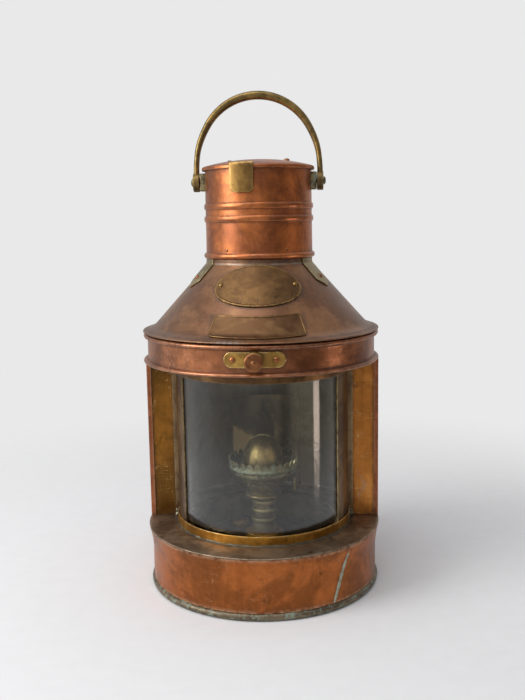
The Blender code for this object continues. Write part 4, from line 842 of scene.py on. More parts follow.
POST_BRASS = old_metal("post brass", "80694c 644f3a 2f261c b09a72", (26, 0.5, 0.35, 0.3, 0.3, 0.5),
                       crust=0.12)
SILL_BRASS = old_metal("worn brass strip", "c08c3c 9a6c28 4a3314 e2c388", (26, 0.45, 0.3, 0.1, 0.26, 0.44),
                       wear=0.9, crust=0.08)
HEAD_BRASS = old_metal("dull brass strip", "7a5c3c 60462e 2c2016 a8845a", (26, 0.5, 0.35, 0.1, 0.32, 0.5),
                       crust=0.08)
BAIL_BRASS = old_metal("bail brass", "8e7440 6c5834 3a2f1e c0a66c", (30, 0.5, 0.35, 0.1, 0.28, 0.46),
                       crust=0.34, shift=(0, 1.5, 0))
LUG_BRASS = old_metal("greened brass", "7c7250 5c543c 30291d b0a074", (44, 0.5, 0.4, 0.1, 0.32, 0.5),
                      crust=0.6, grain=120.0, shift=(0.5, 1.1, 0))
PLATE_BRASS = old_metal("plate brass", "8e6d3a 745730 3b2e1c c4a26a", (26, 0.45, 0.3, 0.12, 0.28, 0.46),
                        wear=0.9, scratches=0.3, shift=(0, 0.7, 0.2))
OVAL_BRASS = old_metal("brown oval brass", "725434 60462c 36281c a08050", (26, 0.5, 0.16, 0.1, 0.32, 0.5),
                       wear=1.0, scratches=0.3, shift=(0, 2.7, 0.2))
NAME_BRASS = old_metal("browned plate", "745638 62462e 36281c 8c6c46", (24, 0.5, 0.3, 0.1, 0.32, 0.5),
                       wear=1.0, shift=(0.2, 0.7, 0.9))
LATCH_BRASS = old_metal("latch brass", "c49a50 a07a3e 42301a dcc48c", (34, 0.4, 0.25, 0.1, 0.26, 0.42),
                        wear=0.9)
STRAP_BRASS = old_metal("greenish brass", "a08f6c 807152 3a3022 b3a47c", (28, 0.5, 0.3, 0.1, 0.32, 0.5),
                        crust=0.15)
BURNER_BRASS = old_metal("burner brass", "9a875c 74643f 332c20 c4b68c", (40, 0.5, 0.35, 0.15, 0.34, 0.46),
                         crust=0.10)
OLD_SOLDER = old_metal("old solder", "706957 575142 332e26 a8a390", (60, 0.5, 0.3, 0, 0.36, 0.6),
                       specks=0.4, uneven=0.5)
SEAM_SOLDER = old_metal("pale seam solder", "a6ac98 8c917c 45463c c0c4b0", (60, 0.5, 0.2, 0, 0.38, 0.62),
                        specks=0.4, uneven=0.5, metal=0.5)
GALLERY_BRASS = old_metal("crusted brass", "8e805c 6c6248 332c20 b8b08c", (60, 0.5, 0.35, 0.2, 0.3, 0.5),
                          crust=0.8, grain=320.0)
# Its pale joint colour is the colour of the painted reflection on the reflector's left.
REFLECTOR_TIN = old_metal("smoked reflector", "6c5e48 4c4232 2a241c a08e6a", (18, 0.5, 0.45, 0.2, 0.14, 0.36),
                          joint="ffe2a8")
SOOTY_TIN = old_metal("sooty tin", "5c564b 443f37 26231f 8a8478", (16, 0.5, 0.5, 0, 0.34, 0.6))
TIN = old_metal("tinned sheet", "8a8478 6a655a 38342e b0aca0", (16, 0.5, 0.4, 0.3, 0.16, 0.40))
STEEL = old_metal("dull steel wire", "8b8a86 6a6864 34322f b5b3ae", (60, 0.4, 0.3, 0.2, 0.28, 0.5))
GLASS = clear_glass()
COTTON = wick_cotton()


# Base
def flare(height):
    """How far the drum's wall leans out: the 1.75th power of the height over its flared top."""
    share = np.clip((height - DRUM_HEAD + DRUM_FLARE_HEIGHT) / DRUM_FLARE_HEIGHT, 0, 1)
    return DRUM_FLARE * share ** 1.75


def base_drum():
    """A wall that flares at its top, over a round roll of wire, with two soldered seams."""
    height = np.linspace(DRUM_FOOT, DRUM_HEAD, 30)
    outer = np.stack([DRUM_RADIUS + flare(height), height], 1)
    outline = np.vstack([outer, outer[::-1] - (SHEET, 0)])

    def dirt(x, y, z):
        """Soil at both edges and along both sides of the slanting seam."""
        turn = np.degrees(plan(x, y)[0]) - SEAM_FOOT[0] - (z - SEAM_FOOT[1]) * SEAM_LEAN
        beside = near(np.abs(radians(1) * DRUM_RADIUS * turn), 2.7, 0.9)
        return 0.9 * near(z, DRUM_HEAD, 2.5) + 0.7 * near(z, DRUM_FOOT, 4) + 0.9 * beside

    drum = turned(spaced(outline, 2.4), uneven=dents(0.22, 3))
    piece("drum_wall", "lamp_body", DRUM_COPPER, ["base_drum"], drum, dirt=dirt)
    middle = reach("bottom_wire_ring") - WIRE_RADIUS
    roll = around(WIRE_RADIUS, circle(22), 0)[:, :2] * (1, -1)
    roll = roll[:, ::-1] + (middle, WIRE_RADIUS)
    edge = turned(roll, uneven=dents(0.15, 5, 3, 14))
    piece("wired_edge", "lamp_body", WIRED_EDGE, ["bottom_wire_ring"], edge)

    # A slanting soldered seam at the front right, and the lap seam at the back
    ridge("drum_seam", (radians(45.8), 53.5), (radians(SEAM_FOOT[0]), SEAM_FOOT[1]), 4.4, 0.6)
    ridge("drum_rear_seam", (radians(196.5), 55.0), (radians(188.2), 8.0), 3.0, 0.5)


def ridge(name, start, end, width, proud):
    """Solder on the drum from one (angle, height) to another: half an ellipse, now thick, now thin."""
    share = np.linspace(0, 1, 60)
    angle, height = np.linspace(start, end, 60).T
    fade = np.sqrt(np.clip(np.sin(pi * np.clip(share, 0.002, 0.998)), 0, 1))
    swell = (0.82 + 0.12 * np.sin(31 * share) + 0.08 * np.sin(73 * share + 1)) * fade ** 0.35
    turn = circle(14)
    across = width / 2 * np.cos(turn) * swell[:, None]
    slope = (np.gradient(height) / (np.gradient(angle) * DRUM_RADIUS + 1e-9))[:, None]
    length = np.sqrt(1 + slope ** 2)
    radius = DRUM_RADIUS + flare(height)[:, None] + proud * np.sin(turn) * swell[:, None]
    points = around(radius, angle[:, None] - slope / length * across / DRUM_RADIUS,
                    height[:, None] + across / length)
    piece(name, "lamp_body", SEAM_SOLDER, [], lattice(points, False, True, "rows"), like="base_drum")


def deck_plate():
    """A flat ring between the drum and the well of the font."""
    bottom, top = levels("deck_plate")

    def soil(x, y, z):
        """Soil along the sill's foot, and soot on all of the deck behind the glass."""
        radius = np.hypot(x, y)
        return near(radius, SILL_RADIUS + 1, 1.4) * (y < 2) + (radius < SILL_RADIUS - 2)

    deck = ring(oblong(DECK_HOLE, bottom, reach("deck_plate"), top), 0.5, 2.6, uneven=dents(0.10, 8, 4, 17))
    piece("deck", "lamp_body", LEDGE_COPPER, ["deck_plate"], deck, dirt=soil)


# Body
def body_shell():
    """A half-round wall with its front edges turned in; the path runs anticlockwise seen from above."""
    first = radians(92)
    bend = around(SHELL_RADIUS, first, 0)[:2]
    start = rounded([(SHELL_RADIUS - HEM_WIDTH, 0), (SHELL_RADIUS, 0), bend], 1.1, closed=False)
    wall = around(SHELL_RADIUS, np.linspace(first, 2 * pi - first, 190), 0)[:, :2]
    path = spaced(np.vstack([start, wall, start[::-1] * (-1, 1)]), 2.4, closed=False)
    points, faces = carried(sheet_section(WALL_FOOT, WALL_HEAD, SHEET, 0.3, 3.0), path)
    angle = plan(points[:, 0], points[:, 1])[0]
    hollow = dents(0.25, 11)(angle[None, None], points[None, None, :, 2])[0, 0]
    points[:, :2] -= points[:, :2] / SHELL_RADIUS * np.where(points[:, 1] > 6, np.abs(hollow), 0)[:, None]
    # Behind its hems the wall's head is tucked under the band's lower bead
    points[:, 2] += SHELL_TUCK * np.clip((points[:, 1] - 4) / 4, 0, 1) * (points[:, 2] > WALL_HEAD - 1)
    low = lambda x, y, z: near(z, WALL_FOOT, 3.5) + near(z, WALL_HEAD, 3.5)
    piece("rear_shell", "lamp_body", SHELL_COPPER, ["body_shell"], (points, faces), dirt=low)


def screens():
    """Flat brass sheets beside the glass, the right one with a pale mark that wanders up it."""
    def soil(x, y, z):
        post = near(np.abs(x), POST_RADIUS + POST_FLANGE, 1.8)
        hem = near(np.abs(x), SHELL_RADIUS - HEM_WIDTH, 1.6)
        return post + hem + near(z, WALL_FOOT, 4) + 0.9 * near(z, WALL_HEAD, 9)

    mark = lambda x, y, z: (x > 0) * 0.45 * near(x + 3 * np.sin(z / 4), 101, 1.6) * near(z, 92, 12)
    for side, sign in SIDES.items():
        along = np.sort(sign * np.linspace(*SCREEN_SPAN, 14))
        path = np.stack([along, np.full(len(along), SCREEN_FRONT)], 1)
        points, faces = carried(sheet_section(WALL_FOOT, WALL_HEAD, 1, 0.25, 4.0), path)
        wave = 0.22 * np.sin(points[:, 2] / 21 + sign) * np.sin(points[:, 0] / 9)
        points[:, 1] += np.where(points[:, 1] < SCREEN_FRONT + 2, np.abs(wave), 0)
        finish = PANEL_BRASS if sign < 0 else BRIGHT_PANEL
        name = "screen_" + side
        piece(name + "_sheet", "lamp_body", finish, [name], (points, faces), dirt=soil, solder=mark)


def window():
    """Sill, head ring, posts and the glass, one inside the other."""
    ends = lambda x, y, z: 0.85 * np.clip((np.abs(x) - 86.0) / 2, 0, 1)
    for name, node, finish, dirty_end in (("sill_strip", "sill_ring", SILL_BRASS, 0),
                                          ("head_strip", "head_ring", HEAD_BRASS, 1)):
        low, high = levels(node)
        strip = ring(oblong(SILL_RADIUS - SILL_WALL, low, SILL_RADIUS, high), 0.55, 1.6, 200,
                     ends=(-RING_EDGE, RING_EDGE), uneven=dents(0.06, 17))
        soil = lambda x, y, z, level=levels(node)[dirty_end]: near(z, level, 1.8)
        piece(name, "lamp_body", finish, [node], strip, dirt=soil, solder=ends)

    arc = around(POST_RADIUS, np.linspace(WINDOW_EDGE, radians(89.2), 26), 0)[:, :2]
    bend = rounded([arc[-1], (POST_RADIUS, 0), (POST_RADIUS + POST_FLANGE, 0)], 0.6, closed=False)
    right = spaced(np.vstack([arc[:-1], bend]), 1.6, closed=False)
    section = sheet_section(WALL_FOOT, WALL_HEAD, SHEET, 0.3, 4.0)
    shorter = (HEAD_RING_HEAD - HEAD_RING_FOOT + SEAT_GAP) * 2 / (WALL_HEAD - WALL_FOOT)
    soil = lambda x, y, z: near(z, POST_SOIL[0], 3) + near(z, POST_SOIL[1], 3)
    for side, path in (("left", (right * (-1, 1))[::-1]), ("right", right)):
        stretch = np.where(np.abs(path[:, 0]) > POST_RADIUS + 0.2, 1 - shorter, 1.0)
        post = carried(section, path, stretch=stretch)
        piece("post_" + side + "_strip", "lamp_body", POST_BRASS, ["post_" + side], post, dirt=soil)

    pane = ring(oblong(GLASS_RADIUS - GLASS_WALL, WALL_FOOT, GLASS_RADIUS, WALL_HEAD), 0.4, 5.0, 220,
                ends=(-GLASS_EDGE, GLASS_EDGE), uneven=dents(0.04, 23))
    piece("curved_glass", "lamp_body", GLASS, ["glass_pane"], pane)


def sill_solder():
    """A fillet of solder along the sill's foot, three-cornered with a hollow face, and lumps at its ends."""
    size = 1.5
    inner = SILL_RADIUS - 0.2
    below = WALL_FOOT - 0.25
    hollow = around(size, np.linspace(1.5 * pi, 2 * pi, 6), 0)[:, :2] + (SILL_RADIUS + size, WALL_FOOT + size)
    section = np.vstack([[(inner, below), (inner, WALL_FOOT + size)], hollow, [(SILL_RADIUS + size, below)]])
    swell = dents(0.55, 29, 12, 40)
    wavy = lambda angle, height: swell(angle, 0 * height) * (height > WALL_FOOT)
    lumps = []
    for sign in SIDES.values():
        lumps.append(lump((sign * 89.6, -1.6, WALL_FOOT + 1.8), (3.0, 2.6, 3.2), 31 + sign))
        lumps.append(lump((sign * 90.4, -0.9, WALL_FOOT + 5.6), (1.8, 1.6, 2.6), 37 + sign))
        lumps.append(lump((sign * 89.9, -1.0, HEAD_RING_FOOT + 2.0), (2.0, 1.5, 3.0), 41 + sign))
    fillet = turned(section, 360, (-RING_EDGE, RING_EDGE), uneven=wavy)
    piece("sill_solder", "lamp_body", OLD_SOLDER, [], fillet, *lumps, like="sill_ring")


def lump(place, radii, seed):
    """A drop of solder: an ellipsoid whose radius wanders a little."""
    tilt = np.linspace(0, pi, 15)[:, None]
    turn = circle(24)[None]
    out = np.sin(tilt)
    wander = 1 + 0.10 * np.sin(2 * turn + seed) * out ** 2 + 0.07 * np.sin(3 * turn + 2 * tilt + seed) * out
    ball = np.stack([out * np.cos(turn), out * np.sin(turn), np.cos(tilt) + 0 * turn], -1)
    return lattice(ball * wander[..., None] * np.array(radii) + np.array(place), False, True)


# Band and latch
def band():
    """A wall between two half-round beads, with a hole for the button's stem."""
    inner = BAND_RADIUS - SHEET
    low_bead = half_round(BAND_RADIUS, LOWER_BEAD, BAND_FOOT + LOWER_BEAD[1] / 2)
    high_bead = half_round(BAND_RADIUS, UPPER_BEAD, BAND_HEAD - UPPER_BEAD[1] / 2)
    outline = np.vstack([low_bead, high_bead, [(inner, BAND_HEAD), (inner, BAND_FOOT)]])
    radii = np.zeros(len(outline))
    radii[[12, 13]] = 0.7

    def dirt(x, y, z):
        """Soil round the latch plate and along the beads."""
        across = np.maximum(np.abs(plan(x, y)[0] * BAND_RADIUS) - LATCH_HALF[0] + LATCH_HALF[1], 0)
        halo = np.hypot(across, z - LATCH_HEIGHT) - LATCH_HALF[1]
        beads = near(z, BAND_FOOT + 5.0, 1.2) + near(z, BAND_HEAD - 4.3, 1.2)
        return 1.1 * near(np.maximum(halo, 0), 0, 2.2) + 0.7 * beads

    piece("band_wall", "lamp_body", BAND_COPPER, ["band"], ring(outline, radii, 1.8, uneven=dents(0.14, 43)),
          dirt=dirt, hole=(BAND_RADIUS - 3, BAND_RADIUS + 2))


def latch():
    """A plate with round ends, its rivets, its barrel and the button; the button's face is nearly flat."""
    half_length, half_height = LATCH_HALF
    turn = np.linspace(-pi / 2, pi / 2, 14)
    end = half_height * np.stack([np.cos(turn), np.sin(turn)], 1) + (half_length - half_height, 0)
    outline = spaced(np.vstack([end, -end]), 2.5)
    back = BAND_RADIUS + SEAT_GAP
    edge = [(0.2, 0), (0, 0.2), (0, 0.7), (0.15, 1.0), (0.5, 1.2), (1.4, 1.2), (2.2, 1.12)]
    on_band = lambda across, up, out: around(back + out, across / back, LATCH_HEIGHT + up)

    def soil(x, y, z):
        rivets = np.hypot(np.abs(x) - LATCH_RIVET_OUT, z - LATCH_HEIGHT)
        return near(np.hypot(x, z - LATCH_HEIGHT), BARREL[0] + 0.4, 1.1) + near(rivets, LATCH_RIVET[0], 0.8)

    sheet = plate(outline, edge, on_band, np.linspace(0.9, 0, 12))
    hole = (back - 1, back + 3)
    piece("latch_back", "lamp_body", LATCH_BRASS, ["latch_plate"], sheet, dirt=soil, hole=hole)
    for side, sign in SIDES.items():
        angle = sign * LATCH_RIVET_OUT / back
        seat = around(back + SHEET, angle, LATCH_HEIGHT)
        rivet("latch_rivet_" + side, "lamp_body", RIVET_COPPER, LATCH_RIVET, seat, around(1, angle, 0))

    outer, inner, start, mouth = BARREL
    forwards = ((0, 0, LATCH_HEIGHT), (0, -1, 0))
    tube = aimed(ring(oblong(inner, start, outer, mouth), 0.4, 1.2, SMALL_STEPS), *forwards)
    piece("latch_tube", "lamp_body", LATCH_BRASS, ["latch_barrel"], tube)

    button = solid([
        (0, BUTTON_FACE + 0.7), (1.2, BUTTON_FACE + 0.65), (2.0, BUTTON_FACE + 0.1), (5.0, BUTTON_FACE + 0.1),
        (7.2, BUTTON_FACE - 0.1), (BUTTON_RADIUS, BUTTON_FACE - 0.8), (BUTTON_RADIUS, BUTTON_BACK),
        (2.0, BUTTON_BACK), (2.0, BUTTON_TIP), (0, BUTTON_TIP),
    ], [0, 0.6, 0.5, 1.0, 0.8, 0.4, 0.5, 0.2, 0.3, 0], 0.8, SMALL_STEPS)
    piece("push_button", "button", BURNT_COPPER, ["latch_button"], aimed(button, *forwards))


# Hood
def hood_cone():
    """A neck, a straight cone, a sloping brim and a rolled lip, turned from one outline."""
    outline = [
        (CONE_TOP_RADIUS, NECK_HEAD),
        (CONE_TOP_RADIUS, CONE_TOP_HEIGHT),
        (CONE_FOOT_RADIUS, CONE_FOOT_HEIGHT),
        (BRIM_RADIUS, LIP_HEAD),
        (LIP_RADIUS - 0.5, LIP_HEAD - 0.3),
        (LIP_RADIUS, LIP_HEAD - 1.0),
        (LIP_RADIUS - 0.5, LIP_FOOT + 0.3),
        (BRIM_RADIUS, LIP_FOOT),
        (BRIM_RADIUS - 1, LIP_FOOT + 0.5),
        (BRIM_RADIUS - 1, LIP_HEAD - 1.1),
        (CONE_FOOT_RADIUS, CONE_FOOT_HEIGHT - 1.45),
        (CONE_TOP_RADIUS - 1, CONE_TOP_HEIGHT - 0.6),
        (CONE_TOP_RADIUS - 1, NECK_HEAD),
    ]
    radii = [0.3, 1.6, 3.0, 1.0, 0.5, 0.6, 0.5, 0.4, 0.2, 0.3, 2.5, 1.0, 0.3]

    def dirt(x, y, z):
        """Soil round the straps and the plates and at the lip, and the whole neck darkened: partly grime,
        partly painted shade under the collar's foot bead.
        """
        angle, radius = plan(x, y)
        down = (radius - CONE_TOP_RADIUS) * CONE_UP + (CONE_TOP_HEIGHT - z) * CONE_OUT
        off_plates = (angle - PLATE_TURN) * radius
        sagged = down + NAME_SAG * np.minimum((off_plates / NAME_HALF_TOP) ** 2, 1.4)
        half = (NAME_HALF_TOP + NAME_HALF_FOOT) / 2
        name = outside_box(off_plates, half, sagged, NAME_HEAD_DOWN + NAME_SAG, NAME_FOOT_DOWN)
        across = (angle - PLATE_TURN) * on_cone(OVAL_DOWN)[0]
        oval = (np.hypot(across / OVAL_HALF[0], (down - OVAL_DOWN) / OVAL_HALF[1]) - 1) * OVAL_SPREAD
        # The neck is darkened all over: partly grime, partly painted shade under the collar's foot bead.
        neck = np.clip((z - CONE_TOP_HEIGHT - 0.6) / 1.2, 0, 1) * (radius < CONE_TOP_RADIUS + 2)
        rim = near(z, LIP_HEAD + 0.8, 1.1) + 0.9 * near(z, LIP_FOOT, 0.9)
        marks = [0.85 * near(name, 0, 2.4), near(np.maximum(oval, 0), 0, 2.4), 0.9 * rim, neck]
        for middle in STRAP_ANGLES.values():
            across = (np.mod(angle - middle + pi, 2 * pi) - pi) * radius
            marks.append(near(outside_box(across, STRAP_SOIL[0], down, 0, STRAP_SOIL[1]), 0, 1.7))
        return np.max(marks, 0)

    def smear(x, y, z):
        """A smear of solder on the lip, left of the middle, and the joint at the foot of the neck."""
        angle = plan(x, y)[0]
        lip = 0.8 * near(np.degrees(angle), -11.5, 6.5, 4) * near(z, LIP_HEAD - 0.8, 1.2, 4)
        lip = lip * (0.6 + 0.4 * np.sin(angle * 130))
        joint = near(z, CONE_TOP_HEIGHT + 0.2, 0.7) * (0.62 + 0.3 * np.sin(angle * 23) * np.sin(angle * 7))
        return np.maximum(lip, joint)

    wall = ring(outline, radii, 1.5, 360, uneven=dents(0.22, 47))
    piece("hood_sheet", "hood", CONE_COPPER, ["hood_cone"], wall, dirt=dirt, solder=smear)


def collar_wall(level):
    """The radius of the collar, which narrows evenly upwards."""
    share = (level - COLLAR_FOOT) / (COLLAR_HEAD - COLLAR_FOOT)
    return COLLAR_RADII[0] + (COLLAR_RADII[1] - COLLAR_RADII[0]) * share


def collar():
    """A wall with three beads, four small rivets and a lap at the back that follows the wall."""
    foot_bead = half_round(collar_wall(COLLAR_FOOT), COLLAR_FOOT_BEAD, COLLAR_FOOT + COLLAR_FOOT_BEAD[1] / 2)
    beads = [half_round(collar_wall(level), COLLAR_BEAD, level) for level in COLLAR_BEADS]
    foot, head = COLLAR_RADII
    top = [(head, COLLAR_HEAD), (head - 1, COLLAR_HEAD), (foot - 1, COLLAR_FOOT)]
    outline = np.vstack([foot_bead, *beads, top])
    radii = np.zeros(len(outline))
    radii[[12, 13, 25, 26, 38]] = 0.9
    radii[[39, 40]] = 0.3

    def dirt(x, y, z):
        joints = [COLLAR_FOOT + 6.4] + [level + side * 3.6 for level in COLLAR_BEADS for side in (-1, 1)]
        soil = sum(0.75 * near(z, level, 0.9) for level in joints)
        lugs = outside_box(y, LUG_HALF[0], z, PIVOT_HEIGHT - LUG_HALF[1], PIVOT_HEIGHT + LUG_HALF[1])
        # The band just under the lid's rim is darkened as the rim's painted shadow; the joints by the beads
        # and round the lugs are soiled.
        return soil + near(lugs, 0, 1.8) * (np.abs(x) > 30) + 0.8 * near(z, COLLAR_HEAD - 2, 3.5)

    wall = ring(outline, radii, 1.6, uneven=dents(0.18, 53))
    piece("collar_sheet", "hood", COPPER, ["collar"], wall, dirt=dirt)
    heads = []
    for degrees_round in (-33.0, 33.0, 147.0, 213.0):
        angle = radians(degrees_round)
        level = COLLAR_FOOT + 8.6
        seat = around(collar_wall(level) - 0.1, angle, level)
        heads.append(rivet_head((1.5, 0.9), seat, around(1, angle, 0)))
    piece("collar_rivets", "hood", RIVET_COPPER, [], *heads, like="collar")
    path = np.linspace(COLLAR_FOOT + 7.5, COLLAR_BEADS[0] - 4.5, 20)
    place = lambda across, level, height: around(
        collar_wall(level) + height, pi + across / COLLAR_RADII[0], level)
    piece("collar_lap", "hood", COPPER, [], ribbon(path, np.full(20, 9.0), 0.7, place, 0.3), like="collar")


def straps():
    """Brass straps down the neck and the cone; the last part narrows evenly to a point."""
    neck = CONE_TOP_RADIUS + SEAT_GAP
    bend = CONE_TOP_HEIGHT + SEAT_GAP * CONE_UP / (1 + CONE_OUT)
    line = rounded([(neck, NECK_HEAD), (neck, bend), on_cone(STRAP_END, SEAT_GAP)], 1.2, closed=False)
    path = spaced(line, 0.8, closed=False)
    for side, angle in STRAP_ANGLES.items():
        way, place = over_profile(path, angle)
        point = np.clip((way - way[-1] + STRAP_END - STRAP_SQUARE) / (STRAP_END - STRAP_SQUARE), 0, 1)
        widths = STRAP_WIDTH + (STRAP_TIP - STRAP_WIDTH) * point
        strip = ribbon(way, widths, THIN_SHEET, place, 0.4, 13)
        radius, level = on_cone(STRAP_RIVET_DOWN, SEAT_GAP + THIN_SHEET)
        seat = around(radius, angle, level)
        soil = lambda x, y, z, s=seat: near(np.linalg.norm(np.stack([x, y, z], 1) - s, axis=1), 2.6, 0.8)
        piece("strap_" + side + "_strip", "hood", STRAP_BRASS, ["strap_" + side], strip, dirt=soil)
        outward = around(CONE_OUT, angle, CONE_UP)
        rivet("strap_rivet_" + side, "hood", BURNT_COPPER, (2.4, 1.5), seat, outward)


def plates():
    """The bare oval plate and the bare name plate, each with a raised border."""
    turn = circle(120)
    oval = np.stack([np.cos(turn), np.sin(turn)], 1) * OVAL_HALF * 0.995 + (0, OVAL_DOWN)
    edge = [(0.25, 0), (0, 0.25), (0, 0.8), (0.2, 1.05), (0.5, 1.2), (1.3, 1.2), (1.6, 1.05), (1.9, 0.8),
            (2.6, 0.75)]
    shares = np.linspace(0.93, 0, 14)
    middle = on_cone(OVAL_DOWN)[0]

    def on_oval(across, down, height):
        radius, level = on_cone(down, height + SEAT_GAP)
        return around(radius, PLATE_TURN + across / middle, level)

    piece("oval_sheet", "hood", OVAL_BRASS, ["oval_plate"], plate(oval, edge, on_oval, shares))
    for side, sign in SIDES.items():
        angle = PLATE_TURN + sign * OVAL_RIVET_OUT / middle
        radius, level = on_cone(OVAL_DOWN, SEAT_GAP + 0.8)
        outward = around(CONE_OUT, angle, CONE_UP)
        rivet("oval_rivet_" + side, "hood", PLATE_BRASS, (2.2, 1.6), around(radius, angle, level), outward)

    # The name plate bends from the cone on to the brim, and hangs by the square of the way out
    start = CONE_SLANT - 30
    brim = unit(np.array([BRIM_RADIUS - CONE_FOOT_RADIUS, LIP_HEAD - CONE_FOOT_HEIGHT]))
    fold = np.array(on_cone(CONE_SLANT, SEAT_GAP)) + (0.05, 0.1)
    line = rounded([on_cone(start, SEAT_GAP), fold, fold + brim * 8], 3.0, closed=False)
    over = over_profile(spaced(line, 0.8, closed=False), PLATE_TURN)[1]
    on_name = lambda across, down, height: over(
        across, down - start - NAME_SAG * (across / NAME_HALF_FOOT) ** 2, height)
    corners = [(-NAME_HALF_TOP, NAME_HEAD_DOWN), (NAME_HALF_TOP, NAME_HEAD_DOWN),
               (NAME_HALF_FOOT, NAME_FOOT_DOWN), (-NAME_HALF_FOOT, NAME_FOOT_DOWN)]
    outline = spaced(rounded(corners, 6.5, steps=9), 2.0)
    edge = [(0.2, 0), (0, 0.2), (0, 0.6), (0.2, 0.9), (0.5, 1.0), (1.5, 1.0), (1.8, 0.85), (2.1, 0.6),
            (2.8, 0.55)]
    piece("name_sheet", "hood", NAME_BRASS, ["name_plate"], plate(outline, edge, on_name, shares))


def lugs():
    """Blocks with round corners on the collar, and the pins that the bail turns on."""
    wide, high = LUG_HALF
    outline = spaced(rounded(oblong(-wide, -high, wide, high), 3.4), 1.5)
    depth = LUG_REACH - COLLAR_RADII[1] + 0.6
    edge = [(0, 0), (0, depth - 0.9), (0.3, depth - 0.3), (0.9, depth)]
    soil = lambda x, y, z: 0.55 + 0 * z
    pin = solid([(0, 66.1), (2.6, 65.9), (4.0, 64.6), (4.0, 63.9), (2.2, 63.9), (2.2, 51.6), (0, 51.6)],
                [0, 0.8, 0.5, 0.2, 0.1, 0.1, 0], 0.8, 40)
    for side, sign in SIDES.items():
        place = lambda across, up, out, s=sign: np.stack(
            [s * (COLLAR_RADII[1] - 0.6 + out), across, PIVOT_HEIGHT + up], -1)
        block = plate(outline, edge, place)
        piece("lug_" + side + "_block", "hood", LUG_BRASS, ["lug_" + side], block, dirt=soil)
        shape = aimed(pin, (0, 0, PIVOT_HEIGHT), (sign, 0, 0))
        piece("pivot_pin_" + side + "_head", "hood", LUG_BRASS, ["pivot_pin_" + side], shape, dirt=soil)


# Lid and bail
def lid_level(share):
    """The dome's height falls with the 2.2nd power of the radius."""
    return LID_SHOULDER + (LID_HEAD - LID_SHOULDER) * (1 - share ** 2.2)


def lid():
    """A dome, a rolled rim and a flap over the front."""
    share = np.linspace(0, 1, 34)
    dome = np.stack([LID_SHOULDER_RADIUS * share, lid_level(share)], 1)
    rim = rounded([
        dome[-1], (LID_RADIUS - 0.4, LID_SHOULDER - 0.7), (LID_RADIUS, LID_SHOULDER - 2.0),
        (LID_RADIUS, LID_RIM_FOOT), (LID_RIM_INNER, LID_RIM_FOOT), (LID_RIM_INNER, LID_SHOULDER - 1),
    ], [0.5, 0.9, 0.9, 0.8, 0.4, 0.4], closed=False)
    outline = spaced(np.vstack([dome[:-1], rim, (dome - (0, 1))[::-1]]), 1.8, closed=False)

    def soil(x, y, z):
        """Soil at the shoulder and round the rivets."""
        along = np.abs(x * cos(LID_TURN) + y * sin(LID_TURN)) - LID_RIVET_OUT
        rivets = np.hypot(along, y * cos(LID_TURN) - x * sin(LID_TURN))
        return 0.8 * near(np.hypot(x, y), LID_SHOULDER_RADIUS, 1.5) + near(rivets, 3.0, 1.1)

    piece("lid_sheet", "lid", COPPER, ["lid"], turned(outline, solid=True, uneven=dents(0.10, 61)), dirt=soil)

    # The flap runs out over the shoulder, bends down and ends in round corners
    front = LID_RADIUS + SEAT_GAP
    top = TAB_HEAD - 1.1
    path = rounded([(front - 4.8, top), (front, top), (front, TAB_FOOT)], 1.3, closed=False)
    path = spaced(path, 0.9, closed=False)
    way, place = over_profile(path, LID_TURN, front)
    below = np.clip(TAB_FOOT + TAB_CORNER - path[:, 1], 0, TAB_CORNER - 0.08)
    widths = TAB_WIDTH - 2 * (TAB_CORNER - np.sqrt(TAB_CORNER ** 2 - below ** 2))
    piece("lid_flap", "lid", PLATE_BRASS, ["lid_tab"], ribbon(way, widths, 1.1, place, 0.35, 11))
    level = lid_level(LID_RIVET_OUT / LID_SHOULDER_RADIUS) - 0.1
    for side, sign in SIDES.items():
        out = sign * LID_RIVET_OUT
        seat = (out * cos(LID_TURN), out * sin(LID_TURN), level)
        rivet("lid_rivet_" + side, "lid", BURNT_COPPER, (3.0, 2.2), seat, (0, 0, 1))


def bail():
    """A bar along a leg, an arch and a leg; it spreads smoothly to its eyes, and grows rounder upwards."""
    leg = np.linspace(PIVOT_HEIGHT + 2.3, ARCH_HEIGHT, 22)[:-1]
    turn = np.linspace(pi, 0, 90)
    x = np.concatenate([0 * leg - ARCH_RADIUS, ARCH_RADIUS * np.cos(turn), 0 * leg + ARCH_RADIUS])
    z = np.concatenate([leg, ARCH_HEIGHT + ARCH_RADIUS * np.sin(turn), leg[::-1]])
    ease = np.clip((z - PIVOT_HEIGHT - 9) / 46, 0, 1)
    x = x + np.sign(x) * (LEG_OUT - ARCH_RADIUS) * (1 - ease ** 2 * (3 - 2 * ease))
    crown = np.concatenate([0 * leg, np.sin(turn), 0 * leg])[:, None]
    heading = unit(np.stack([np.gradient(x), np.gradient(z)], 1))
    squared = lambda wave: np.sign(wave) * np.abs(wave) ** 0.86
    across = (5.4 + 2.8 * crown) / 2 * squared(np.cos(circle(28)))
    depth = (10.0 - 1.2 * crown) / 2 * squared(np.sin(circle(28)))
    points = np.stack([x[:, None] - across * heading[:, 1:], depth, z[:, None] + across * heading[:, :1]], -1)
    eye = ring(oblong(EYE_HOLE, EYE_ENDS[0], EYE_RADIUS, EYE_ENDS[1]), 0.9, 1.0, 56)
    eyes = [aimed(eye, (0, 0, PIVOT_HEIGHT), (sign, 0, 0)) for sign in SIDES.values()]
    soil = lambda x, y, z: 0.75 * np.clip((PIVOT_HEIGHT + 26 - z) / 22, 0, 1)
    piece("bail_bar", "bail", BAIL_BRASS, ["bail"], lattice(points, False, True, "rows"), *eyes, dirt=soil)


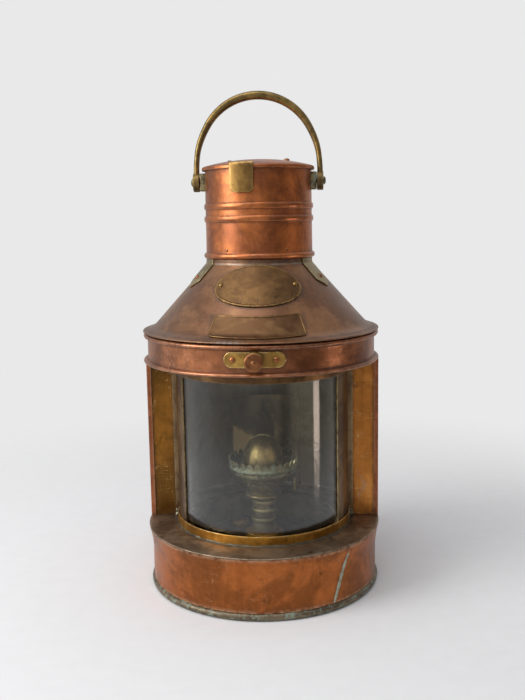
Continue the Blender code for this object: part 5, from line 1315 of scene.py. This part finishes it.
# Oil lamp
def font():
    """A cup with a rim, its sloping top, a knurled collar for the burner and a ribbed filler cap."""
    rim = FONT_HEAD - 5.0
    inner = FONT_RADIUS - 1
    cup = solid([(0, FONT_FOOT + 1), (inner, FONT_FOOT + 1), (inner, rim), (FONT_RADIUS, rim),
                 (FONT_RADIUS, FONT_FOOT), (0, FONT_FOOT)], [0, 1.0, 0.2, 0.2, 1.6, 0], 4.0, 160)
    piece("font_cup", "oil_lamp", SOOTY_TIN, ["oil_font"], cup)
    top = ring([(FONT_RADIUS - 5, FONT_HEAD), (FONT_RADIUS, rim + 1.3), (FONT_RADIUS, rim + 0.3),
                (inner, rim + 0.3), (inner - 5, FONT_HEAD - 1), (11.8, FONT_HEAD - 1), (11.8, FONT_HEAD)],
               [2.0, 0.5, 0.2, 0.2, 1.5, 0.2, 0.2], 4.0, 160)
    piece("font_shoulder", "oil_lamp", SOOTY_TIN, ["font_top"], top)

    low, high = levels("burner_collar")
    knurl = lambda angle, height: 0.22 * np.sin(60 * angle) + 0 * height
    piece("font_collar", "oil_lamp", SILL_BRASS, ["burner_collar"],
          ring(oblong(10.4, low, 19, high), 0.6, 1.2, 240, uneven=knurl))
    low, high = corners_of("filler_cap")
    radius = (high[0] - low[0]) / 2
    seat = FONT_HEAD + SEAT_GAP
    ribs = lambda angle, height: 0.2 * np.sin(40 * angle) * (height > seat)
    cap = solid([(0, high[2]), (radius - 1.1, high[2]), (radius, high[2] - 1.1), (radius, seat), (6.6, seat),
                 (6.6, low[2]), (0, low[2])], [0, 0.8, 0.8, 0.4, 0.2, 0.4, 0], 1.0, 160, uneven=ribs)
    middle = (low + high) / 2 * (1, 1, 0)
    piece("filler_cap_ribbed", "cap", SILL_BRASS, ["filler_cap"], aimed(cap, middle, (0, 0, 1)))


def air_holes(x, y, z):
    """Two rings of air holes round the burner's bowl."""
    angle, radius = plan(x, y)
    mask = np.zeros(len(x))
    step = 2 * pi / HOLE_COUNT
    for level, phase in HOLE_RINGS:
        across = (np.mod(angle / step + phase, 1) - 0.5) * step * BOWL_RADIUS
        distance = np.hypot(across, (z - level) * 1.2)
        mask = np.maximum(mask, np.clip((HOLE_RADIUS - distance) / 0.5, 0, 1))
    return mask * (radius > 20)


def burner():
    """A ringed stem, a skirt, a bowl with air holes and the tube that holds the wick."""
    bottom = levels("burner_body")[0]
    levels_down = [SKIRT_FOOT - 36.5 * share for share in (0.66, 0.38, 0.14)]
    rings = [half_round(STEM_RADIUS, (1.8, 4.4), level, 9) for level in levels_down]
    outline = np.vstack([
        [(0, bottom), (10.0, bottom), (10.0, STEM_FOOT), (12.4, STEM_FOOT), (12.4, STEM_FOOT + 4.4)],
        *rings,
        [(STEM_RADIUS, SKIRT_FOOT), (18.8, SKIRT_FOOT + 1.3), (18.8, BOWL_FOOT - 1.3), (15.0, BOWL_FOOT),
         (17.5, 92.5), (22.2, 98.1), (30.0, BURNER_HEAD), (0, BURNER_HEAD)],
    ])
    radii = np.zeros(len(outline))
    radii[2:5] = 0.6
    radii[-8:-1] = [0.8, 0.7, 0.8, 0.8, 3.0, 3.0, 0.8]
    points, faces = solid(outline, radii, 0.9, 320)
    points[:, :2] *= 1 - 0.035 * air_holes(*points.T)[:, None]
    tube = spaced(rounded(oblong(-9.1, -2.5, 9.1, 2.5), 2.2), 1.2)
    wick_tube = carried(sheet_section(105.0, 137.3, 1, 0.2, 3.0), tube, closed=True)

    def soil(x, y, z):
        below = np.clip((SKIRT_FOOT - z) / 16, 0, 1)
        # The air holes are painted dark, as the shade inside them; the bowl's foot is soiled, and the stem
        # grows darker towards its foot below the skirt.
        return air_holes(x, y, z) * 1.6 + 0.8 * near(z, BOWL_FOOT, 1.0) + 0.95 * below

    piece("burner_stem", "oil_lamp", BURNER_BRASS, ["burner_body"], (points, faces), wick_tube, dirt=soil)


def gallery():
    """A dish with a ring of teeth; a tooth's edge is half a sine wave to the power of three quarters."""
    foot = GALLERY_FOOT
    dish = ring([
        (GALLERY_RADIUS, foot + 9), (GALLERY_RADIUS, foot + 6), (33.8, foot + 4.8), (33.2, foot + 0.8),
        (31, foot), (20.9, foot), (20.9, foot + 0.8), (31.4, foot + 0.8), (34.2, foot + 6), (34.2, foot + 9),
    ], [0.2, 0.8, 0.6, 0.8, 0.8, 0.2, 0.2, 0.6, 0.8, 0.2], 1.2, 168)
    angle = circle(TOOTH_COUNT * 16)
    tooth = 0.18 + 0.82 * np.abs(np.sin(angle * TOOTH_COUNT / 2)) ** 0.75
    share = np.concatenate([np.linspace(0, 1, 9), np.linspace(1, 0, 9)])[:, None]
    wall = np.repeat([0, 0.8], 9)[:, None]
    low = foot + 8.2
    radius = GALLERY_RADIUS + (share * tooth) ** 2 - wall
    teeth = lattice(around(radius, angle[None], low + (GALLERY_HEAD - low) * share * tooth))
    soil = lambda x, y, z: near(z, foot + 8, 1.2)
    piece("gallery_crown", "oil_lamp", GALLERY_BRASS, ["gallery"], dish, teeth, dirt=soil)


def burner_dome():
    """A tall dome; across its top a slot is pressed in, deep enough to read as an opening, and painted dark
    as the shade inside it.
    """
    spring_line = DOME_FOOT + 7
    rise = DOME_HEAD - spring_line
    inner = DOME_RADIUS - DOME_WALL
    turn = np.linspace(0, pi / 2, 46)
    quarter = np.stack([np.sin(turn), np.cos(turn)], 1)
    outer_face = quarter * (DOME_RADIUS, rise) + (0, spring_line)
    inner_face = (quarter * (inner, rise - 6.8) + (0, spring_line))[::-1]
    profile = np.vstack([outer_face, [(DOME_RADIUS, DOME_FOOT), (inner, DOME_FOOT)], inner_face])
    points, faces = turned(spaced(profile, 0.8, closed=False), 240, solid=True)
    slot = lambda x, y, half, depth: (
        np.clip((half - np.abs(x)) / 0.7, 0, 1) * np.clip((depth - np.abs(y)) / 0.5, 0, 1))
    x, y, z = points.T
    out = np.clip(1 - (np.hypot(x, y) / DOME_RADIUS) ** 2, 0, 1)
    outside = (z > spring_line + (rise - 5.0) * np.sqrt(out)) * (z > DOME_HEAD - 9)
    points[:, 2] -= 5.2 * slot(x, y, 10.2, 2.5) * outside
    # Painted shade: the pressed slot is darkened as the inside of an opening.
    soil = lambda x, y, z: 1.5 * slot(x, y, 10.6, 2.9)
    piece("dome_sheet", "oil_lamp", BURNER_BRASS, ["burner_dome"], (points, faces), dirt=soil)


def winder():
    """A disc whose edge is knurled by a sine wave of 30 turns."""
    face = WINDER_FACE
    knurl = lambda angle, height: np.where(np.abs(height - face + 1.4) < 1.1, 0.2, 0.0) * np.sin(30 * angle)
    knob = solid([(0, face), (5.0, face), (6.0, face - 0.6), (6.0, face - 2.2), (5.0, face - 2.8),
                  (0, face - 2.8)], [0, 0.6, 0.4, 0.4, 0.6, 0], 0.5, 180, uneven=knurl)
    piece("winder_wheel", "winder", BURNER_BRASS, ["winder_knob"], aimed(knob, WINDER_PLACE, (1, 0, 0)))


def reflector():
    """A sheet bent to an arc behind the burner, its upper and lower edges rounded."""
    arc = around(REFLECTOR_CURVE, np.linspace(radians(136), radians(224), 60), 0)[:, :2]
    section = sheet_section(*levels("reflector"), 0.8, 0.3, 2.5)

    def bright(x, y, z):
        """A painted reflection: a bright wedge on its left, between two heights."""
        under = np.clip((141 - 0.8 * (x + 38) - z) / 4, 0, 1)
        return under * np.clip((z - 92) / 6, 0, 1) * np.clip((-10 - x) / 4, 0, 1)

    sheet = carried(section, arc + (0, REFLECTOR_CENTRE))
    # The painted reflection is carried in the solder layer and takes the reflector's pale joint colour.
    piece("reflector_sheet", "lamp_body", REFLECTOR_TIN, ["reflector"], sheet, solder=bright)


def small_pieces():
    """Small and hidden pieces keep their CAD shape, with round corners."""
    kept = {
        "lamp_body": {"base_plate": DRUM_COPPER, "head_plate": SHELL_COPPER, "reflector_bracket": TIN,
                      "latch_spring": STEEL, "hinge_leaf": PLATE_BRASS, "hinge_pin": PLATE_BRASS},
        "hood": {"hinge_strap": PLATE_BRASS, "hood_spigot": CONE_COPPER, "catch_tongue": LATCH_BRASS},
        "lid": {"lid_cross_bar": PLATE_BRASS},
        "winder": {"winder_shaft": STEEL},
        "wick": {"wick": COTTON},
    }
    bevels = {"latch_spring": 0, "winder_shaft": 0, "wick": 0.3, "hood_spigot": 0.2, "head_plate": 0.2}
    made = {}
    for body, finishes in kept.items():
        for name, finish in finishes.items():
            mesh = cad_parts[name].data.copy()
            mesh.materials.clear()
            bevel = bevels.get(name, 0.25)
            made[name] = finished(name + "_soft", mesh, body, finish, [name], bevel=bevel, sharp=50)

    # The spring gets a mesh of its own; its seat and length are worked out here but not used.
    seat = BARREL[2]
    length = -corners_of("latch_spring")[0][1] - seat
    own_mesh(made["latch_spring"])


# Light, floor and camera
def soft_light(name, eye, target, width, height, watts):
    light = bpy.data.lights.new(name, "AREA")
    light.shape = "RECTANGLE"
    light.size = width
    light.size_y = height
    light.energy = watts
    aim = (Vector(target) - Vector(eye)).to_track_quat("-Z", "Y")
    linked(name, light).matrix_world = Matrix.Translation(eye) @ aim.to_matrix().to_4x4()


def surroundings():
    """A pale room, white to the camera. In gloss and glass its far side and its left are bright, with a wide
    window, and its front right is dark but for a narrow bright opening."""
    world = bpy.data.worlds.new("pale room")
    bpy.context.scene.world = world
    world.use_nodes = True
    tree = world.node_tree
    tree.nodes.clear()
    east = add(tree, "SeparateXYZ", {0: add(tree, "TexCoord", output="Generated")})
    height = east.other(2)
    turn = east.maths("ARCTAN2", east, east.other(1) * -1.0)

    def towards(degrees, inner, outer):
        """1 within the inner angle of a direction, eased to 0 at the outer one."""
        return abs(turn - radians(degrees)).eased(radians(inner), radians(outer), 1, 0)

    dark = turn.eased(radians(-12), radians(42)) * turn.eased(radians(95), radians(150), 1, 0)
    room = dark.mix((0.52, 0.51, 0.51, 1), (0.17, 0.155, 0.145, 1))
    room = towards(-88, 12, 30).mix(room, (0.80, 0.84, 0.88, 1))
    opening = towards(80, 3.2, 6.4) * height.eased(-0.20, -0.155, 1, 0) * height.eased(-0.42, -0.37)
    room = opening.mix(room, (8.0, 6.4, 5.4, 1))
    room = (height.eased(0.1, 0.95) * 0.7).mix(room, (0.72, 0.72, 0.74, 1))
    inside = towards(62, 12, 30).mix((0.60, 0.54, 0.46, 1), (1.7, 1.45, 1.1, 1))
    seen = add(tree, "LightPath", output="Is Camera Ray")
    colour = seen.other("Is Glossy Ray").mix((0.56, 0.56, 0.57, 1), room)
    colour = seen.other("Is Transmission Ray").mix(colour, inside)
    colour = seen.mix(colour, (0.815, 0.815, 0.815, 1))
    background = add(tree, "Background", {"Color": colour, "Strength": 1.0})
    feed(tree.nodes.new("ShaderNodeOutputWorld"), {0: background})


def floor():
    """A pale disc in rings that fades out, so that only the shadow near the lamp shows."""
    radius = np.linspace(0, 1100, 40)[:, None]
    points, faces = lattice(around(radius, circle(96)[None], 0 * radius), False, True)
    mesh = bpy.data.meshes.new("floor")
    mesh.from_pydata((points * MM).tolist(), [], faces)
    welded(mesh)
    disc = linked("floor", mesh)
    material, tree, shader = empty_material("pale paper floor")
    place = place_in(tree)
    paper = place.noise(55, 5, 0.6).mix(tint("e0e0e1"), tint("e8e8e9"))
    feed(shader.socket.node, {"Base Color": paper, "Roughness": 0.9, "Specular IOR Level": 0.15})
    distance = place.then("VectorMath", {0: place}, "Value", operation="LENGTH")
    see_through(shader, distance.eased(0.26, 0.80))
    disc.data.materials.append(material)
    disc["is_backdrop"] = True


CAMERA_PLACE = (0.0461, -0.8545, 0.3645)
CAMERA_YAW = radians(3)
CAMERA_PITCH = radians(8.607)
CAMERA_ROLL = radians(0.983)
CAMERA_LENS = 44.1


def camera():
    """The photograph's view: turned 3 degrees, pitched down and rolled a little."""
    ahead = Vector((-sin(CAMERA_YAW), cos(CAMERA_YAW), 0))
    right = Vector((cos(CAMERA_YAW), sin(CAMERA_YAW), 0))
    up = Vector((0, 0, 1))
    forward = ahead * cos(CAMERA_PITCH) - up * sin(CAMERA_PITCH)
    over = up * cos(CAMERA_PITCH) + ahead * sin(CAMERA_PITCH)
    side = right * cos(CAMERA_ROLL) - over * sin(CAMERA_ROLL)
    top = over * cos(CAMERA_ROLL) + right * sin(CAMERA_ROLL)
    eye = bpy.data.cameras.new("photo camera")
    eye.lens = CAMERA_LENS
    eye.sensor_width = 36
    eye.sensor_fit = "AUTO"
    eye.clip_start = 0.01
    holder = linked("photo camera", eye)
    aim = Matrix((side, top, -forward)).transposed().to_4x4()
    holder.matrix_world = Matrix.Translation(CAMERA_PLACE) @ aim
    bpy.context.scene.camera = holder


def main():
    camera()
    surroundings()
    floor()
    soft_light("window light", (-1.35, -0.75, 0.85), (0, 0, 0.24), 0.9, 1.1, 18.5)
    soft_light("ceiling light", (-0.45, -0.55, 1.75), (0, 0, 0.15), 1.3, 1.0, 9)
    for make in (base_drum, deck_plate, body_shell, screens, window, sill_solder, band, latch, hood_cone,
                 collar, straps, plates, lugs, lid, bail, font, burner, gallery, burner_dome, winder,
                 reflector, small_pieces):
        make()
    bpy.context.scene.view_settings.view_transform = "Standard"
    boxes = [[list(corner) for corner in box] for box in (CAD_BOX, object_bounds())]


main()
